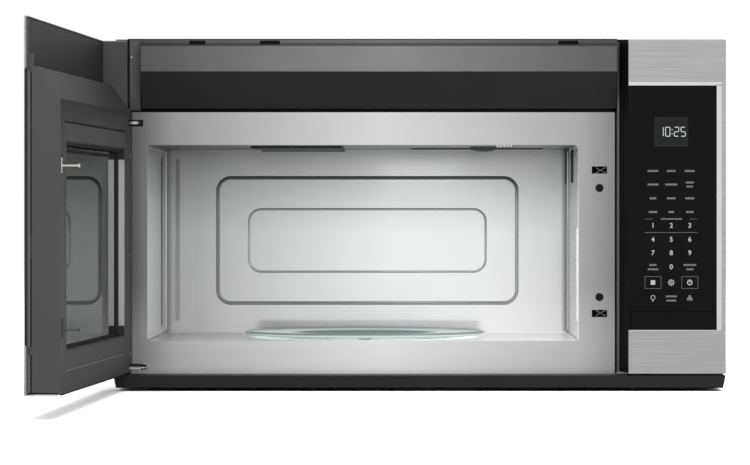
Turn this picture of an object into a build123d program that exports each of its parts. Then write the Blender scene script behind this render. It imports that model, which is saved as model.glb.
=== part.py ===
from build123d import *
import os

# Over the range microwave oven with its door open. Millimetres.
# X to the right seen from the front, Y towards the wall, Z up.
# Origin: middle of the base's underside.

# ---------------------------------------------------------------- driving sizes
# Cabinet
BODY_WIDTH = 760.0
BODY_HEIGHT = 434.0
BODY_DEPTH = 370.0          # front plate to back plate
DOOR_STANDOFF = 41.0        # front plate to the outer face of door and control panel
BASE_HEIGHT = 15.5
SHEET = 1.0                 # case, plates and cavity
BASE_WALL = 1.5
BASE_INSET = 0.5            # base side inside the case side
BASE_EDGE_RADIUS = 2.5

# Oven cavity, inside sizes
CAVITY_SIDE_DUCT = 39.5     # case side to cavity
COMPONENT_BAY = 180.7       # cavity to case side on the right
TOP_BAY = 132.0             # cavity ceiling to case top
REAR_DUCT = 20.0            # cavity back to back plate
CAVITY_FLOOR = 57.0
CAVITY_RADIUS = 4.5
BEAD_WIDTH = 4.0
BEAD_HEIGHT = 0.8
OUTER_BEAD_INSET = (67.5, 36.5)     # from the cavity's side, and from floor and ceiling
INNER_BEAD_INSET = (109.5, 79.6)
OUTER_BEAD_RADIUS = 20.0
INNER_BEAD_RADIUS = 18.0

# Front plate and vent
PLATE_ABOVE_CAVITY = 41.0
PLATE_LEFT_INSET = 17.0     # case side to the plate's left edge
CORNER_RELIEF = 14.0        # how far the left corner is set back for the door's end
FILTER_SHELF_DEPTH = 26.0
VENT_LEFT_INSET = 33.0      # case side to the vent housing
VENT_REACH = 28.0           # how far its ridge stands in front of the plate
VENT_RIDGE_RISE = 50.0      # plate top to ridge
VENT_BROW_RISE = 32.0       # ridge to the top edge of the light band
VENT_BROW_LEAN = 2.0
VENT_WALL = 2.0
VENT_FOOT_RISE = 4.0        # plate top to the housing's foot
VENT_RIGHT_GAP = 3.6        # housing to the finger channel's edge
VENT_TOP_GAP = 0.4
VENT_SLOT = (14.0, 16.0)
VENT_SLOT_PITCH = 19.0
FILTER_THICKNESS = 16.0

# Control panel
PANEL_WIDTH = 120.8
PANEL_BACKING = 2.5
TRIM_SHEET = 1.2
TRIM_STRIP = 11.2
TRIM_RETURN = 12.0
TOP_BAND = 57.0
BOTTOM_BAND = 54.3
GLASS_THICKNESS = 3.2
INSERT_HEIGHT = 23.0
PANEL_GAP = 0.4
CHANNEL_LEAN = 9.6          # how far the finger channel's wall leans towards the door
CHANNEL_WALL = 2.0
DISPLAY_SIZE = (54.0, 8.0, 49.0)
DISPLAY_FROM_TOP = 116.5
BOARD_SIZE = (95.0, 1.6, 240.0)
BOARD_SHIFT = 3.0
BOARD_BELOW_GLASS_TOP = 20.0
BOARD_STUD = (3.0, 6.0)             # radius, inset
CHIP = (24.0, 6.0, 16.0)
CHIP_COLUMN = (3, 60.0, 50.0)       # count, pitch, first one's height
DISPLAY_SHIFT = -2.0
GLASS_FACE_DROP = 0.3               # front glass behind the trim's face
INSERT_DROP = 0.8
INSERT_ENDS = (2.6, 1.2)
CHANNEL_FLANGE = 2.7
CHANNEL_START = 0.2

# Door, measured from its hinge axis
HINGE_INSET = 14.0          # case side to hinge axis
HINGE_FORWARD = 8.0         # front plate to hinge axis
DOOR_OPEN_ANGLE = 93.0
DOOR_BACK_GAP = 1.2         # closed door's inner face to the front plate
DOOR_BASE_GAP = 2.2
DOOR_TOP_GAP = 2.0
FINGER_GAP = 19.2           # closed door to control panel
DOOR_WALL = 2.5
DOOR_END = 6.8              # hinge axis to the frame's hinge end
DOOR_COLUMN = 10.0          # hinge axis to the hollow
SKIN_DEPTH = 11.0           # outer skin's depth past the frame's end
RECESS_BACKING = 3.2        # thin top of the door, behind the trim
BEVEL_FOOT_DEPTH = 24.8     # bevel's run towards the cabinet
BEVEL_RISE = 35.0
GROOVE_WIDTH = 3.5
GROOVE_DEPTH = 8.0
EDGE_INSET = 2.5
WINDOW_MARGIN = (70.0, 48.0)        # hinge side, opening side
WINDOW_BELOW_CEILING = 7.0
WINDOW_ABOVE_FLOOR = 9.0
WINDOW_DEPTH = 10.0
COVER_MARGIN = (10.0, 14.5)         # window to cover outline, hinge and opening side
COVER_RISE = 21.5
COVER_CORNER = 14.0
COVER_THICKNESS = 2.2
FLANGE_SHEET = 1.0
SCREW_RADIUS = 1.4
SCREW_HEAD = 0.6
SCREW_INSET = 6.0
SCREW_PAST_CAVITY = (16.0, 15.0, 14.0)      # below its floor, below its middle, under its ceiling
FILM_THICKNESS = 2.0
SCREEN_SHEET = 0.8
CHOKE_MARGIN = (20.0, 11.0, 27.0, 28.0)     # past the column, short of the hooks, below, above the cavity
CHOKE_LIP_DROP = 0.8
SKIRT = 1.5
SKIRT_GAP = 0.3
FRAME_SEAM = 1.3
HINGE_SWING = 2.0
WINDOW_LIP = 6.0
SCREEN_LAP = 10.0

# Hinges
HINGE_PIN_RADIUS = 3.0
HINGE_RUNNING_GAP = 0.05
BUSH_RADIUS = 5.0
BUSH_LENGTH = 9.0
LUG_THICKNESS = 4.0
LUG_RADIUS = 6.0
LUG_REACH = 18.0            # hinge axis to the lug's far side
LUG_GAP = 2.0
UPPER_LUG_BELOW_PLATE_TOP = 13.5
LOWER_LUG_ABOVE_BASE = 9.0
HINGE_FOOT_HEIGHT = 40.0

# Latch
LATCH_FROM_EDGE = 14.9      # door's opening edge to the hooks
HOOK_THICKNESS = 4.0
HOOK_HEIGHT = 5.2
HOOK_REACH = 20.0
HOOK_CLEARANCE = 0.3        # over and under the hook at the ends of its travel
HOOK_NOTCH = (8.0, 6.0, 2.5)        # from the door's face, from the tip, and its depth
HOOK_NOSE = 3.0
HOOK_INSET = (34.3, 31.2)   # cavity floor to the lower slot, ceiling to the upper one
LATCH_BAR = (6.0, 8.0)
LATCH_BAR_BACK = 12.0       # hinge axis to the bar's far face
LATCH_BAR_PAST_HOOK = 20.0
LATCH_SIDE_GAP = 0.4
LATCH_END_GAP = 0.3
LATCH_RIB = 3.0
LATCH_GUIDE_HEIGHT = 24.0
SPRING_RADIUS = 3.5
SPRING_LENGTH = 20.7
PLATE_SLOT = (18.8, 8.8)
DOOR_SLOT = (12.0, 21.3)
DOOR_SLOT_BELOW = 11.0      # slot level to the door slot's lower end
LATCH_BOARD_DEPTH = 33.0
LATCH_BOARD_SIDES = (13.0, 15.0)
LATCH_BOARD_WALL = 3.0
LATCH_BOARD_PAST_HOOK = 15.0
LATCH_POCKET = (14.0, 7.0)          # height, and the wall behind it
SWITCH_SIZE = (20.0, 12.0, 10.0)
SWITCH_PITCH = 12.0
BUMPER_FROM_HOOK = (20.6, 22.5)
BUMPER_RADIUS = 5.1
BUMPER_STEM = 3.0
BUMPER_HEIGHT = 0.9
BUMPER_TAIL = 2.0

# Turntable
TRAY_RADIUS = 156.0
TRAY_THICKNESS = 4.0
TRAY_RIM = 6.0
RECESS_RADIUS = 128.0
RECESS_DEPTH = 8.0
ROLLER_TRACK = 107.5
ROLLER_RADIUS = 4.7
ROLLER_GAP = 0.3
ROLLER_WIDTH = 6.0
ROLLER_AXLE = 1.5
ROLLER_COUNT = 3
COUPLER_RADIUS = 14.0
COUPLER_SHAFT = 5.0
RUNNING_GAP = 0.05

# Vent blower
WHEEL_RADIUS = 46.0
WHEEL_WIDTH = 54.0
WHEEL_BLADES = 24
BLOWER_Y = 40.0
BLOWER_HALF_SPAN = 80.0             # centre to each housing's inner side
WHEEL_CLEARANCE = 6.0
WHEEL_SIDE_CLEARANCE = 8.0
WHEEL_RIM = 9.0
WHEEL_PLATE = 3.0
WHEEL_HUB = (12.0, 16.0)
WHEEL_BLADE = (8.0, 1.0, 35.0)      # chord, thickness, lean
HOUSING_WALL = (2.0, 8.0, 7.0)      # sides, front and back, top and bottom
INLET_INSET = 10.0                  # wheel's rim to the inlet's edge
OUTLET_LIFT = 8.0                   # blower axis to the outlet's lower edge
OUTLET_DROP = 6.0                   # housing top to the outlet's upper edge
BLOWER_SHAFT = 4.0
BLOWER_MOTOR_RADIUS = 38.0
BLOWER_MOTOR_LENGTH = 120.0
BLOWER_MOTOR_FOOT = (60.0, 44.0)
SHAFT_PAST_WHEEL = 10.0

# Exhaust outlet
DUCT_OPENING = (254.0, 83.0)
DUCT_FRAME_MARGIN = 8.0
DUCT_FRAME_HEIGHT = 8.0
DUCT_REAR_MARGIN = 10.0
DUCT_PAST_HOUSING = 5.0
DUCT_DROP = 20.0            # blower axis to the duct's floor
FLAP_LEDGE = (4.0, 2.0)
FLAP_PIN_REACH = 4.0
FLAP_THICKNESS = 1.5
FLAP_GAP = 1.0
FLAP_STOP_GAP = 0.3
FLAP_PIN = 1.5

# Cooling fan
FAN_PLATE = (120.0, 4.0)
FAN_CENTRE_HEIGHT = 210.0
FAN_PLATE_Y = 120.0
FAN_HOLE = 52.0
FAN_RADIUS = 48.0
FAN_HUB = 14.0
FAN_SHAFT = 2.5
FAN_BLADES = 5

# Power parts in the bay
GUIDE_SIZE = (38.0, 168.0, 174.0)
GUIDE_FROM_PLATE = 50.0
GUIDE_ABOVE_FLOOR = 31.0
GUIDE_PORT_MARGIN = (4.0, 4.0, 75.0)        # each side, below, above
PORT_COVER = (1.5, 20.0, 11.0)              # thickness, lap at the sides, lap above and below
MAGNETRON_SIZE = (76.0, 80.0, 60.0)
MAGNETRON_FROM_GUIDE_FRONT = 120.0
MAGNETRON_BELOW_GUIDE_TOP = 42.0
YOKE_WALL = (3.0, 2.5)
MAGNETRON_TUBE = 20.0
MAGNETRON_FINS = (7, 8.0, 1.0, 3.0)         # count, pitch, thickness, inset
ANTENNA = (10.0, 20.0)                      # radius, reach into the waveguide
ANTENNA_GAP = 2.0
TRANSFORMER_SIZE = (90.0, 100.0, 80.0)
TRANSFORMER_PLACE = (40.0, 80.0)            # right of the fan's axis, behind the plate
TRANSFORMER_FOOT = (3.0, 10.0)
WINDING_INSET = (18.0, 16.0, 12.0)          # front and back, below, above
WINDING_RADIUS = 12.0
CAPACITOR_SIZE = (35.0, 90.0, 60.0)
CAPACITOR_PLACE = (36.0, 100.0)             # from the bay's left side, behind the plate
CAPACITOR_RADIUS = 16.0
TERMINAL = (4.0, 10.0, 30.0)                # radius, height, spacing
DIODE = (5.0, 25.0)
DIODE_PLACE = (53.0, 215.0)
DIODE_TAB = (10.0, 10.0, 2.0)
POWER_BOARD_SIZE = (1.6, 120.0, 150.0)
POWER_BOARD_PLACE = (45.0, 95.0)            # behind the plate, above the cavity's floor
STANDOFF = (3.0, 11.4, 6.0)                 # radius, length, inset
RELAY = (16.0, 20.0, 28.0)
RELAY_ROW = (3, 32.0, 25.0, 60.0)           # count, pitch, first one's place

# Lamps, sensors and the turntable's motor
LAMP_PLACE = (157.0, 111.0)                 # right of the cavity's middle, behind the plate
LAMP_HOLDER = (36.0, 36.0, 34.0, 1.5)
LAMP_BULB = (9.0, 18.0)
LAMP_SOCKET = (6.0, 22.0)
LAMP_HOLES = (3, 5, 6.0, 1.5)               # rows, columns, pitch, radius
VENT_HOLES = (12, 10.0, 2.5)                # count, pitch, radius
VENT_HOLES_PLACE = (-140.0, 160.0)
CUTOUT = (8.0, 7.0)
CUTOUT_PLACE = (200.0, 60.0)
TURNTABLE_MOTOR = (26.0, 16.0)
MOTOR_EARS = (68.0, 16.0, 2.0)
COUPLER_DEPTH = 12.0

# Interfaces
CABINET_BOLT_HOLE = 2.6
CABINET_BOLT_BOSS = 8.0
CABINET_BOLT_PLACES = ((-230.0, -60.0), (230.0, -60.0))
CABINET_BOLT_LENGTH = 10.0
CORD_HOLE = 11.0
CORD_PLACE = (320.0, 150.0)
WALL_SLOT = (30.0, 6.0)
WALL_SLOT_PITCH = 400.0
WALL_SLOT_HEIGHT = 40.0
GREASE_FILTER = (220.0, 140.0, 6.0)
GREASE_FILTER_CENTRE = (130.0, -30.0)
LAMP_LENS = (140.0, 60.0, 2.0)
LAMP_LENS_Y = -150.0

def about(centre, half):
    """The two limits of a span, from its middle."""
    return (centre - half, centre + half)


# ---------------------------------------------------------------- derived places
FRONT_Y = -(BODY_DEPTH + DOOR_STANDOFF) / 2
PLATE_Y = FRONT_Y + DOOR_STANDOFF
BACK_Y = PLATE_Y + BODY_DEPTH
SIDE_X = BODY_WIDTH / 2
PLATE_BACK = PLATE_Y + SHEET
CAVITY_X = (-SIDE_X + CAVITY_SIDE_DUCT, SIDE_X - COMPONENT_BAY)
CAVITY_Y = (PLATE_Y, BACK_Y - REAR_DUCT)
CAVITY_Z = (CAVITY_FLOOR, BODY_HEIGHT - TOP_BAY)
CAVITY_MID = (sum(CAVITY_X) / 2, sum(CAVITY_Y) / 2)
CAVITY_ROOF = CAVITY_Z[1] + SHEET
CASE_TOP_UNDER = BODY_HEIGHT - SHEET
FLOOR_TOP = BASE_HEIGHT + SHEET
PLATE_TOP = CAVITY_Z[1] + PLATE_ABOVE_CAVITY
PLATE_LEFT = -SIDE_X + PLATE_LEFT_INSET
BACK_INSIDE = BACK_Y - SHEET

DOOR_BOTTOM = BASE_HEIGHT + DOOR_BASE_GAP
DOOR_TOP = BODY_HEIGHT - DOOR_TOP_GAP
PANEL_LEFT = SIDE_X - PANEL_WIDTH
GLASS_BOTTOM = DOOR_BOTTOM + BOTTOM_BAND
GLASS_TOP = DOOR_TOP - TOP_BAND

PIVOT_X = -SIDE_X + HINGE_INSET
PIVOT_Y = PLATE_Y - HINGE_FORWARD
DOOR_OUTER = FRONT_Y - PIVOT_Y          # outer face, from the hinge axis
DOOR_INNER = HINGE_FORWARD - DOOR_BACK_GAP
DOOR_EDGE = PANEL_LEFT - FINGER_GAP - PIVOT_X
FRAME_EDGE = DOOR_EDGE - EDGE_INSET
FRAME_FRONT = DOOR_OUTER + GLASS_THICKNESS
SKIN_BACK = DOOR_OUTER + SKIN_DEPTH
TRIM_BACK = DOOR_OUTER + TRIM_SHEET
RECESS_FACE = TRIM_BACK + RECESS_BACKING
FRAME_BOTTOM = DOOR_BOTTOM + TRIM_SHEET
FRAME_TOP = DOOR_TOP - TRIM_SHEET
BEVEL_FOOT = PLATE_TOP - DOOR_BACK_GAP
BEVEL_TOP = BEVEL_FOOT + BEVEL_RISE
BEVEL_TOP_V = DOOR_INNER - BEVEL_FOOT_DEPTH

WINDOW_U = (WINDOW_MARGIN[0], DOOR_EDGE - WINDOW_MARGIN[1])
WINDOW_Z = (CAVITY_Z[0] + WINDOW_ABOVE_FLOOR, CAVITY_Z[1] - WINDOW_BELOW_CEILING)
COVER_U = (WINDOW_U[0] - COVER_MARGIN[0], WINDOW_U[1] + COVER_MARGIN[1])
COVER_Z = (WINDOW_Z[0] - COVER_RISE, WINDOW_Z[1] + COVER_RISE)
LATCH_U = DOOR_EDGE - LATCH_FROM_EDGE
LATCH_X = PIVOT_X + LATCH_U
SLOT_LEVELS = (CAVITY_Z[0] + HOOK_INSET[0], CAVITY_Z[1] - HOOK_INSET[1])
LATCH_TRAVEL = PLATE_SLOT[1] - 2 * HOOK_CLEARANCE - HOOK_HEIGHT
HOOK_LEVELS = tuple(level - LATCH_TRAVEL / 2 for level in SLOT_LEVELS)
BUMPER_LEVELS = (SLOT_LEVELS[0] + BUMPER_FROM_HOOK[0], SLOT_LEVELS[1] - BUMPER_FROM_HOOK[1])
LATCH_Z = (HOOK_LEVELS[0] - LATCH_BAR_PAST_HOOK, HOOK_LEVELS[1] + LATCH_BAR_PAST_HOOK)
SPRING_Z = (LATCH_Z[1] + LATCH_END_GAP, LATCH_Z[1] + LATCH_END_GAP + SPRING_LENGTH)
LATCH_V = (-LATCH_BAR_BACK, -LATCH_BAR_BACK + LATCH_BAR[1])

UPPER_LUG = PLATE_TOP - UPPER_LUG_BELOW_PLATE_TOP - LUG_THICKNESS / 2
LOWER_LUG = BASE_HEIGHT + LOWER_LUG_ABOVE_BASE - LUG_THICKNESS / 2

RECESS_FLOOR = CAVITY_FLOOR - RECESS_DEPTH
ROLLER_AXIS_Z = RECESS_FLOOR + ROLLER_GAP + ROLLER_RADIUS
TRAY_BOTTOM = ROLLER_AXIS_Z + ROLLER_RADIUS + ROLLER_GAP
MOTOR_TOP = RECESS_FLOOR - SHEET

HOUSING_BORE = WHEEL_RADIUS + WHEEL_CLEARANCE
HOUSING_HALF = HOUSING_BORE + HOUSING_WALL[2]
HOUSING_SIZE = (WHEEL_WIDTH + 2 * WHEEL_SIDE_CLEARANCE, 2 * (HOUSING_BORE + HOUSING_WALL[1]), 2 * HOUSING_HALF)
BLOWER_Z = CAVITY_ROOF + HOUSING_HALF
HOUSING_BACK = BLOWER_Y + HOUSING_SIZE[1] / 2
OUTLET_Z = (BLOWER_Z + OUTLET_LIFT, CAVITY_ROOF + HOUSING_SIZE[2] - OUTLET_DROP)
DUCT_Y = (BACK_INSIDE - DUCT_REAR_MARGIN - DUCT_OPENING[1], BACK_INSIDE - DUCT_REAR_MARGIN)
FLAP_Y = DUCT_Y[0] + FLAP_PIN + 2 * FLAP_GAP
FLAP_Z = CASE_TOP_UNDER - DUCT_FRAME_HEIGHT / 2
BAY_X = (CAVITY_X[1] + SHEET, SIDE_X - SHEET)
FAN_X = sum(BAY_X) / 2
GUIDE_X = (BAY_X[0], BAY_X[0] + GUIDE_SIZE[0])
GUIDE_Y = (PLATE_Y + GUIDE_FROM_PLATE, PLATE_Y + GUIDE_FROM_PLATE + GUIDE_SIZE[1])
GUIDE_Z = (CAVITY_FLOOR + GUIDE_ABOVE_FLOOR, CAVITY_FLOOR + GUIDE_ABOVE_FLOOR + GUIDE_SIZE[2])
GUIDE_PORT_Y = (GUIDE_Y[0] + GUIDE_PORT_MARGIN[0], GUIDE_Y[1] - GUIDE_PORT_MARGIN[0])
GUIDE_PORT_Z = (GUIDE_Z[0] + GUIDE_PORT_MARGIN[1], GUIDE_Z[1] - GUIDE_PORT_MARGIN[2])
MAGNETRON_Y = GUIDE_Y[0] + MAGNETRON_FROM_GUIDE_FRONT
MAGNETRON_Z = GUIDE_Z[1] - MAGNETRON_BELOW_GUIDE_TOP
LAMP_X = CAVITY_MID[0] + LAMP_PLACE[0]
LAMP_Y = PLATE_Y + LAMP_PLACE[1]

VENT_X = (-SIDE_X + VENT_LEFT_INSET, PANEL_LEFT - CHANNEL_LEAN - VENT_RIGHT_GAP)
VENT_TOP = CASE_TOP_UNDER - VENT_TOP_GAP
VENT_RIDGE = (PLATE_Y - VENT_REACH, PLATE_TOP + VENT_RIDGE_RISE)
VENT_BROW = (VENT_RIDGE[0] + VENT_BROW_LEAN, VENT_RIDGE[1] + VENT_BROW_RISE)

PANEL_X = (PANEL_LEFT, SIDE_X)
PANEL_GLASS_X = (PANEL_LEFT, SIDE_X - TRIM_STRIP)
INSERT_Z = (GLASS_BOTTOM, GLASS_BOTTOM + INSERT_HEIGHT)
BOARD_FRONT = FRONT_Y + GLASS_THICKNESS + PANEL_BACKING + DISPLAY_SIZE[1]
BOARD_Y = (BOARD_FRONT, BOARD_FRONT + BOARD_SIZE[1])
BOARD_X = about(sum(PANEL_GLASS_X) / 2 + BOARD_SHIFT, BOARD_SIZE[0] / 2)
BOARD_Z = (GLASS_TOP - BOARD_BELOW_GLASS_TOP - BOARD_SIZE[2], GLASS_TOP - BOARD_BELOW_GLASS_TOP)

GLASS_U = (-HINGE_INSET + TRIM_STRIP, DOOR_EDGE)
SCREW_U = DOOR_COLUMN + SCREW_INSET
SCREW_LEVELS = (CAVITY_Z[0] - SCREW_PAST_CAVITY[0], sum(CAVITY_Z) / 2 - SCREW_PAST_CAVITY[1],
                CAVITY_Z[1] - SCREW_PAST_CAVITY[2])
WINDOW_FACE = DOOR_INNER - WINDOW_DEPTH
CHOKE_V = (WINDOW_FACE - FILM_THICKNESS - FLANGE_SHEET, WINDOW_FACE - FILM_THICKNESS)


# ---------------------------------------------------------------- helpers
def block(x, y, z):
    """A box between two limits on each axis."""
    box = Box(x[1] - x[0], y[1] - y[0], z[1] - z[0], align=(Align.MIN, Align.MIN, Align.MIN))
    return Pos(x[0], y[0], z[0]) * box


def grow(limits, amount):
    return (limits[0] - amount, limits[1] + amount)


def rod_x(radius, x, y, z):
    return Pos(sum(x) / 2, y, z) * Rot(0, 90, 0) * Cylinder(radius, x[1] - x[0])


def rod_y(radius, x, y, z):
    return Pos(x, sum(y) / 2, z) * Rot(90, 0, 0) * Cylinder(radius, y[1] - y[0])


def rod_z(radius, x, y, z):
    return Pos(x, y, sum(z) / 2) * Cylinder(radius, z[1] - z[0])


def ring_z(outer, inner, x, y, z):
    return rod_z(outer, x, y, z) - rod_z(inner, x, y, z)


def along_x(points, x):
    """An outline in (Y, Z), extruded along X."""
    face = make_face(Polyline(points, close=True))
    return extrude(Plane.YZ.offset(x[0]) * face, amount=x[1] - x[0])


def along_z(points, z):
    """An outline in (X, Y), extruded along Z."""
    face = make_face(Polyline(points, close=True))
    return extrude(Plane.XY.offset(z[0]) * face, amount=z[1] - z[0])


def rounded_y(x, y, z, radius):
    """A box whose four edges along Y are rounded, as far as its shorter side allows."""
    most = 0.49 * min(x[1] - x[0], z[1] - z[0])
    return fillet(block(x, y, z).edges().filter_by(Axis.Y), min(radius, most))


def rounded_frame_y(x, y, z, radius, width):
    """A rounded rectangular ring that lies in XZ."""
    inner = rounded_y(grow(x, -width), y, grow(z, -width), radius - width)
    return rounded_y(x, y, z, radius) - inner


def group(solids):
    return Compound(children=list(solids))


# ---------------------------------------------------------------- cabinet sheet metal
def outer_case():
    """Top and both sides in one wrap, with the duct opening and bolt bosses."""
    y = (PLATE_Y, BACK_INSIDE)
    z = (BASE_HEIGHT, BODY_HEIGHT)
    case = block((-SIDE_X, SIDE_X), y, (CASE_TOP_UNDER, BODY_HEIGHT))
    case += block((SIDE_X - SHEET, SIDE_X), y, z)
    relief_y = PLATE_Y + CORNER_RELIEF
    case += block((-SIDE_X, -SIDE_X + SHEET), (relief_y, BACK_INSIDE), z)
    case += block((-SIDE_X, PLATE_LEFT), (relief_y, relief_y + SHEET), z)
    case -= block(about(0, DUCT_OPENING[0] / 2), DUCT_Y, (CASE_TOP_UNDER - 1, BODY_HEIGHT + 1))
    case -= rod_z(CORD_HOLE + 3, *CORD_PLACE, (CASE_TOP_UNDER - 1, BODY_HEIGHT + 1))
    for place in CABINET_BOLT_PLACES:
        under = (CASE_TOP_UNDER - CABINET_BOLT_LENGTH, CASE_TOP_UNDER)
        case += rod_z(CABINET_BOLT_BOSS, *place, under)
        case -= rod_z(CABINET_BOLT_HOLE, *place, (under[0] - 1, BODY_HEIGHT + 1))
    return case


def back_plate():
    plate = block((-SIDE_X, SIDE_X), (BACK_INSIDE, BACK_Y), (BASE_HEIGHT, BODY_HEIGHT))
    for side in (-1, 1):
        centre = side * WALL_SLOT_PITCH / 2
        flat = (WALL_SLOT[0] - WALL_SLOT[1]) / 2
        slot = block(about(centre, flat), grow((BACK_INSIDE, BACK_Y), 1),
                     about(WALL_SLOT_HEIGHT, WALL_SLOT[1] / 2))
        for end in (-flat, flat):
            slot += rod_y(WALL_SLOT[1] / 2, centre + end, grow((BACK_INSIDE, BACK_Y), 1),
                          WALL_SLOT_HEIGHT)
        plate -= slot
    return plate


def filter_place(side):
    centre = side * GREASE_FILTER_CENTRE[0]
    return (about(centre, GREASE_FILTER[0] / 2), about(GREASE_FILTER_CENTRE[1], GREASE_FILTER[1] / 2))


def base_pan():
    """Shallow tray under the cabinet, flush with the door's outer face in front."""
    x = (-SIDE_X + BASE_INSET, SIDE_X - BASE_INSET)
    y = (FRONT_Y, BACK_Y)
    pan = block(x, y, (0, BASE_HEIGHT))
    pan = fillet(pan.edges().filter_by(Axis.X).group_by(Axis.Z)[0], BASE_EDGE_RADIUS)
    pan -= block(grow(x, -BASE_WALL), (PLATE_Y, BACK_Y - BASE_WALL), (BASE_WALL, BASE_HEIGHT + 1))
    pan -= block(grow(x, -BASE_WALL), (FRONT_Y + BASE_WALL, PLATE_Y + 1),
                 (BASE_WALL, BASE_HEIGHT - BASE_WALL))
    pan += block((x[0], PLATE_LEFT), (PLATE_Y, PLATE_Y + CORNER_RELIEF),
                 (BASE_HEIGHT - BASE_WALL, BASE_HEIGHT))
    for side in (-1, 1):
        place = filter_place(side)
        pan -= block(grow(place[0], -8), grow(place[1], -8), (-1, BASE_WALL + 1))
    pan -= block(about(0, LAMP_LENS[0] / 2), about(LAMP_LENS_Y, LAMP_LENS[1] / 2), (-1, BASE_WALL + 1))
    return pan


def chassis_floor():
    """Floor sheet with two rails that carry the cavity."""
    x = (-SIDE_X + SHEET, SIDE_X - SHEET)
    floor = block(x, (PLATE_BACK, BACK_INSIDE), (BASE_HEIGHT, FLOOR_TOP))
    floor -= block((x[0] - 1, PLATE_LEFT + SHEET), (PLATE_Y, PLATE_Y + CORNER_RELIEF + SHEET),
                   (BASE_HEIGHT - 1, FLOOR_TOP + 1))
    for side in (-1, 1):
        place = filter_place(side)
        floor -= block(grow(place[0], -12), grow(place[1], -12), (BASE_HEIGHT - 1, FLOOR_TOP + 1))
    rail_y = (PLATE_BACK + 4, CAVITY_Y[1] - 4)
    rail_top = CAVITY_FLOOR - SHEET
    for centre in (CAVITY_X[0] + 8, CAVITY_X[1] - 8):
        floor += block(about(centre, 0.75), rail_y, (FLOOR_TOP, rail_top))
        floor += block(about(centre, 6), rail_y, (rail_top - 1.5, rail_top))
    return floor


def front_plate():
    """Stainless face round the cavity's mouth, with a shelf for the filter on top."""
    x = (PLATE_LEFT, SIDE_X - SHEET)
    z = (BASE_HEIGHT, PLATE_TOP)
    through = (PLATE_Y - 1, PLATE_BACK + 1)
    plate = block(x, (PLATE_Y, PLATE_BACK), z)
    plate += block((x[0], x[0] + SHEET), (PLATE_Y, PLATE_Y + CORNER_RELIEF), z)
    plate += block((x[0], x[1]), (PLATE_Y, PLATE_Y + FILTER_SHELF_DEPTH), (PLATE_TOP - SHEET, PLATE_TOP))
    plate -= rounded_y(CAVITY_X, through, CAVITY_Z, CAVITY_RADIUS)
    for level in SLOT_LEVELS:
        plate -= block(about(LATCH_X, PLATE_SLOT[0] / 2), through, about(level, PLATE_SLOT[1] / 2))
    for level in BUMPER_LEVELS:
        plate -= rod_y(BUMPER_STEM, LATCH_X, through, level)
    for lug in (UPPER_LUG, LOWER_LUG):
        slot_x = (PLATE_LEFT + SHEET, PIVOT_X + LUG_REACH + 2)
        plate -= block(slot_x, through, (lug - 1.8, lug + LUG_THICKNESS + 1.8))
    plate -= block((PANEL_LEFT + 20, SIDE_X - 20), through, (BASE_HEIGHT + 60, PLATE_TOP - 60))
    return plate


def cavity_shell():
    """Pressed oven box with embossed back wall, wave port, lamp holes and turntable well."""
    outer = block(grow(CAVITY_X, SHEET), (PLATE_BACK, CAVITY_Y[1] + SHEET), grow(CAVITY_Z, SHEET))
    inner = block(CAVITY_X, (CAVITY_Y[0] - 1, CAVITY_Y[1]), CAVITY_Z)
    outer = fillet(outer.edges().filter_by(Axis.Y), CAVITY_RADIUS + SHEET)
    inner = fillet(inner.edges().filter_by(Axis.Y), CAVITY_RADIUS)
    well = rod_z(RECESS_RADIUS + SHEET, *CAVITY_MID, (MOTOR_TOP, CAVITY_FLOOR))
    shell = outer + well - inner
    shell -= rod_z(RECESS_RADIUS, *CAVITY_MID, (RECESS_FLOOR, CAVITY_FLOOR + 1))
    shell -= rod_z(COUPLER_SHAFT + 3, *CAVITY_MID, (MOTOR_TOP - 1, CAVITY_FLOOR))
    bead_y = (CAVITY_Y[1] - BEAD_HEIGHT, CAVITY_Y[1])
    for inset, radius in ((OUTER_BEAD_INSET, OUTER_BEAD_RADIUS), (INNER_BEAD_INSET, INNER_BEAD_RADIUS)):
        bead_x = grow(CAVITY_X, -inset[0])
        bead_z = grow(CAVITY_Z, -inset[1])
        shell += rounded_frame_y(bead_x, bead_y, bead_z, radius, BEAD_WIDTH)
    shell -= block((CAVITY_X[1] - 1, BAY_X[0] + 1), GUIDE_PORT_Y, GUIDE_PORT_Z)
    through = grow((CAVITY_Z[1], CAVITY_ROOF), 1)
    rows, columns, pitch, radius = LAMP_HOLES
    for row in range(rows):
        for column in range(columns):
            hole_x = LAMP_X + pitch * (column - (columns - 1) / 2)
            shell -= rod_z(radius, hole_x, LAMP_Y + pitch * (row - (rows - 1) / 2), through)
    count, pitch, radius = VENT_HOLES
    for column in range(count):
        hole_x = CAVITY_MID[0] + VENT_HOLES_PLACE[0] + pitch * column
        shell -= rod_z(radius, hole_x, PLATE_Y + VENT_HOLES_PLACE[1], through)
    return shell


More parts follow.
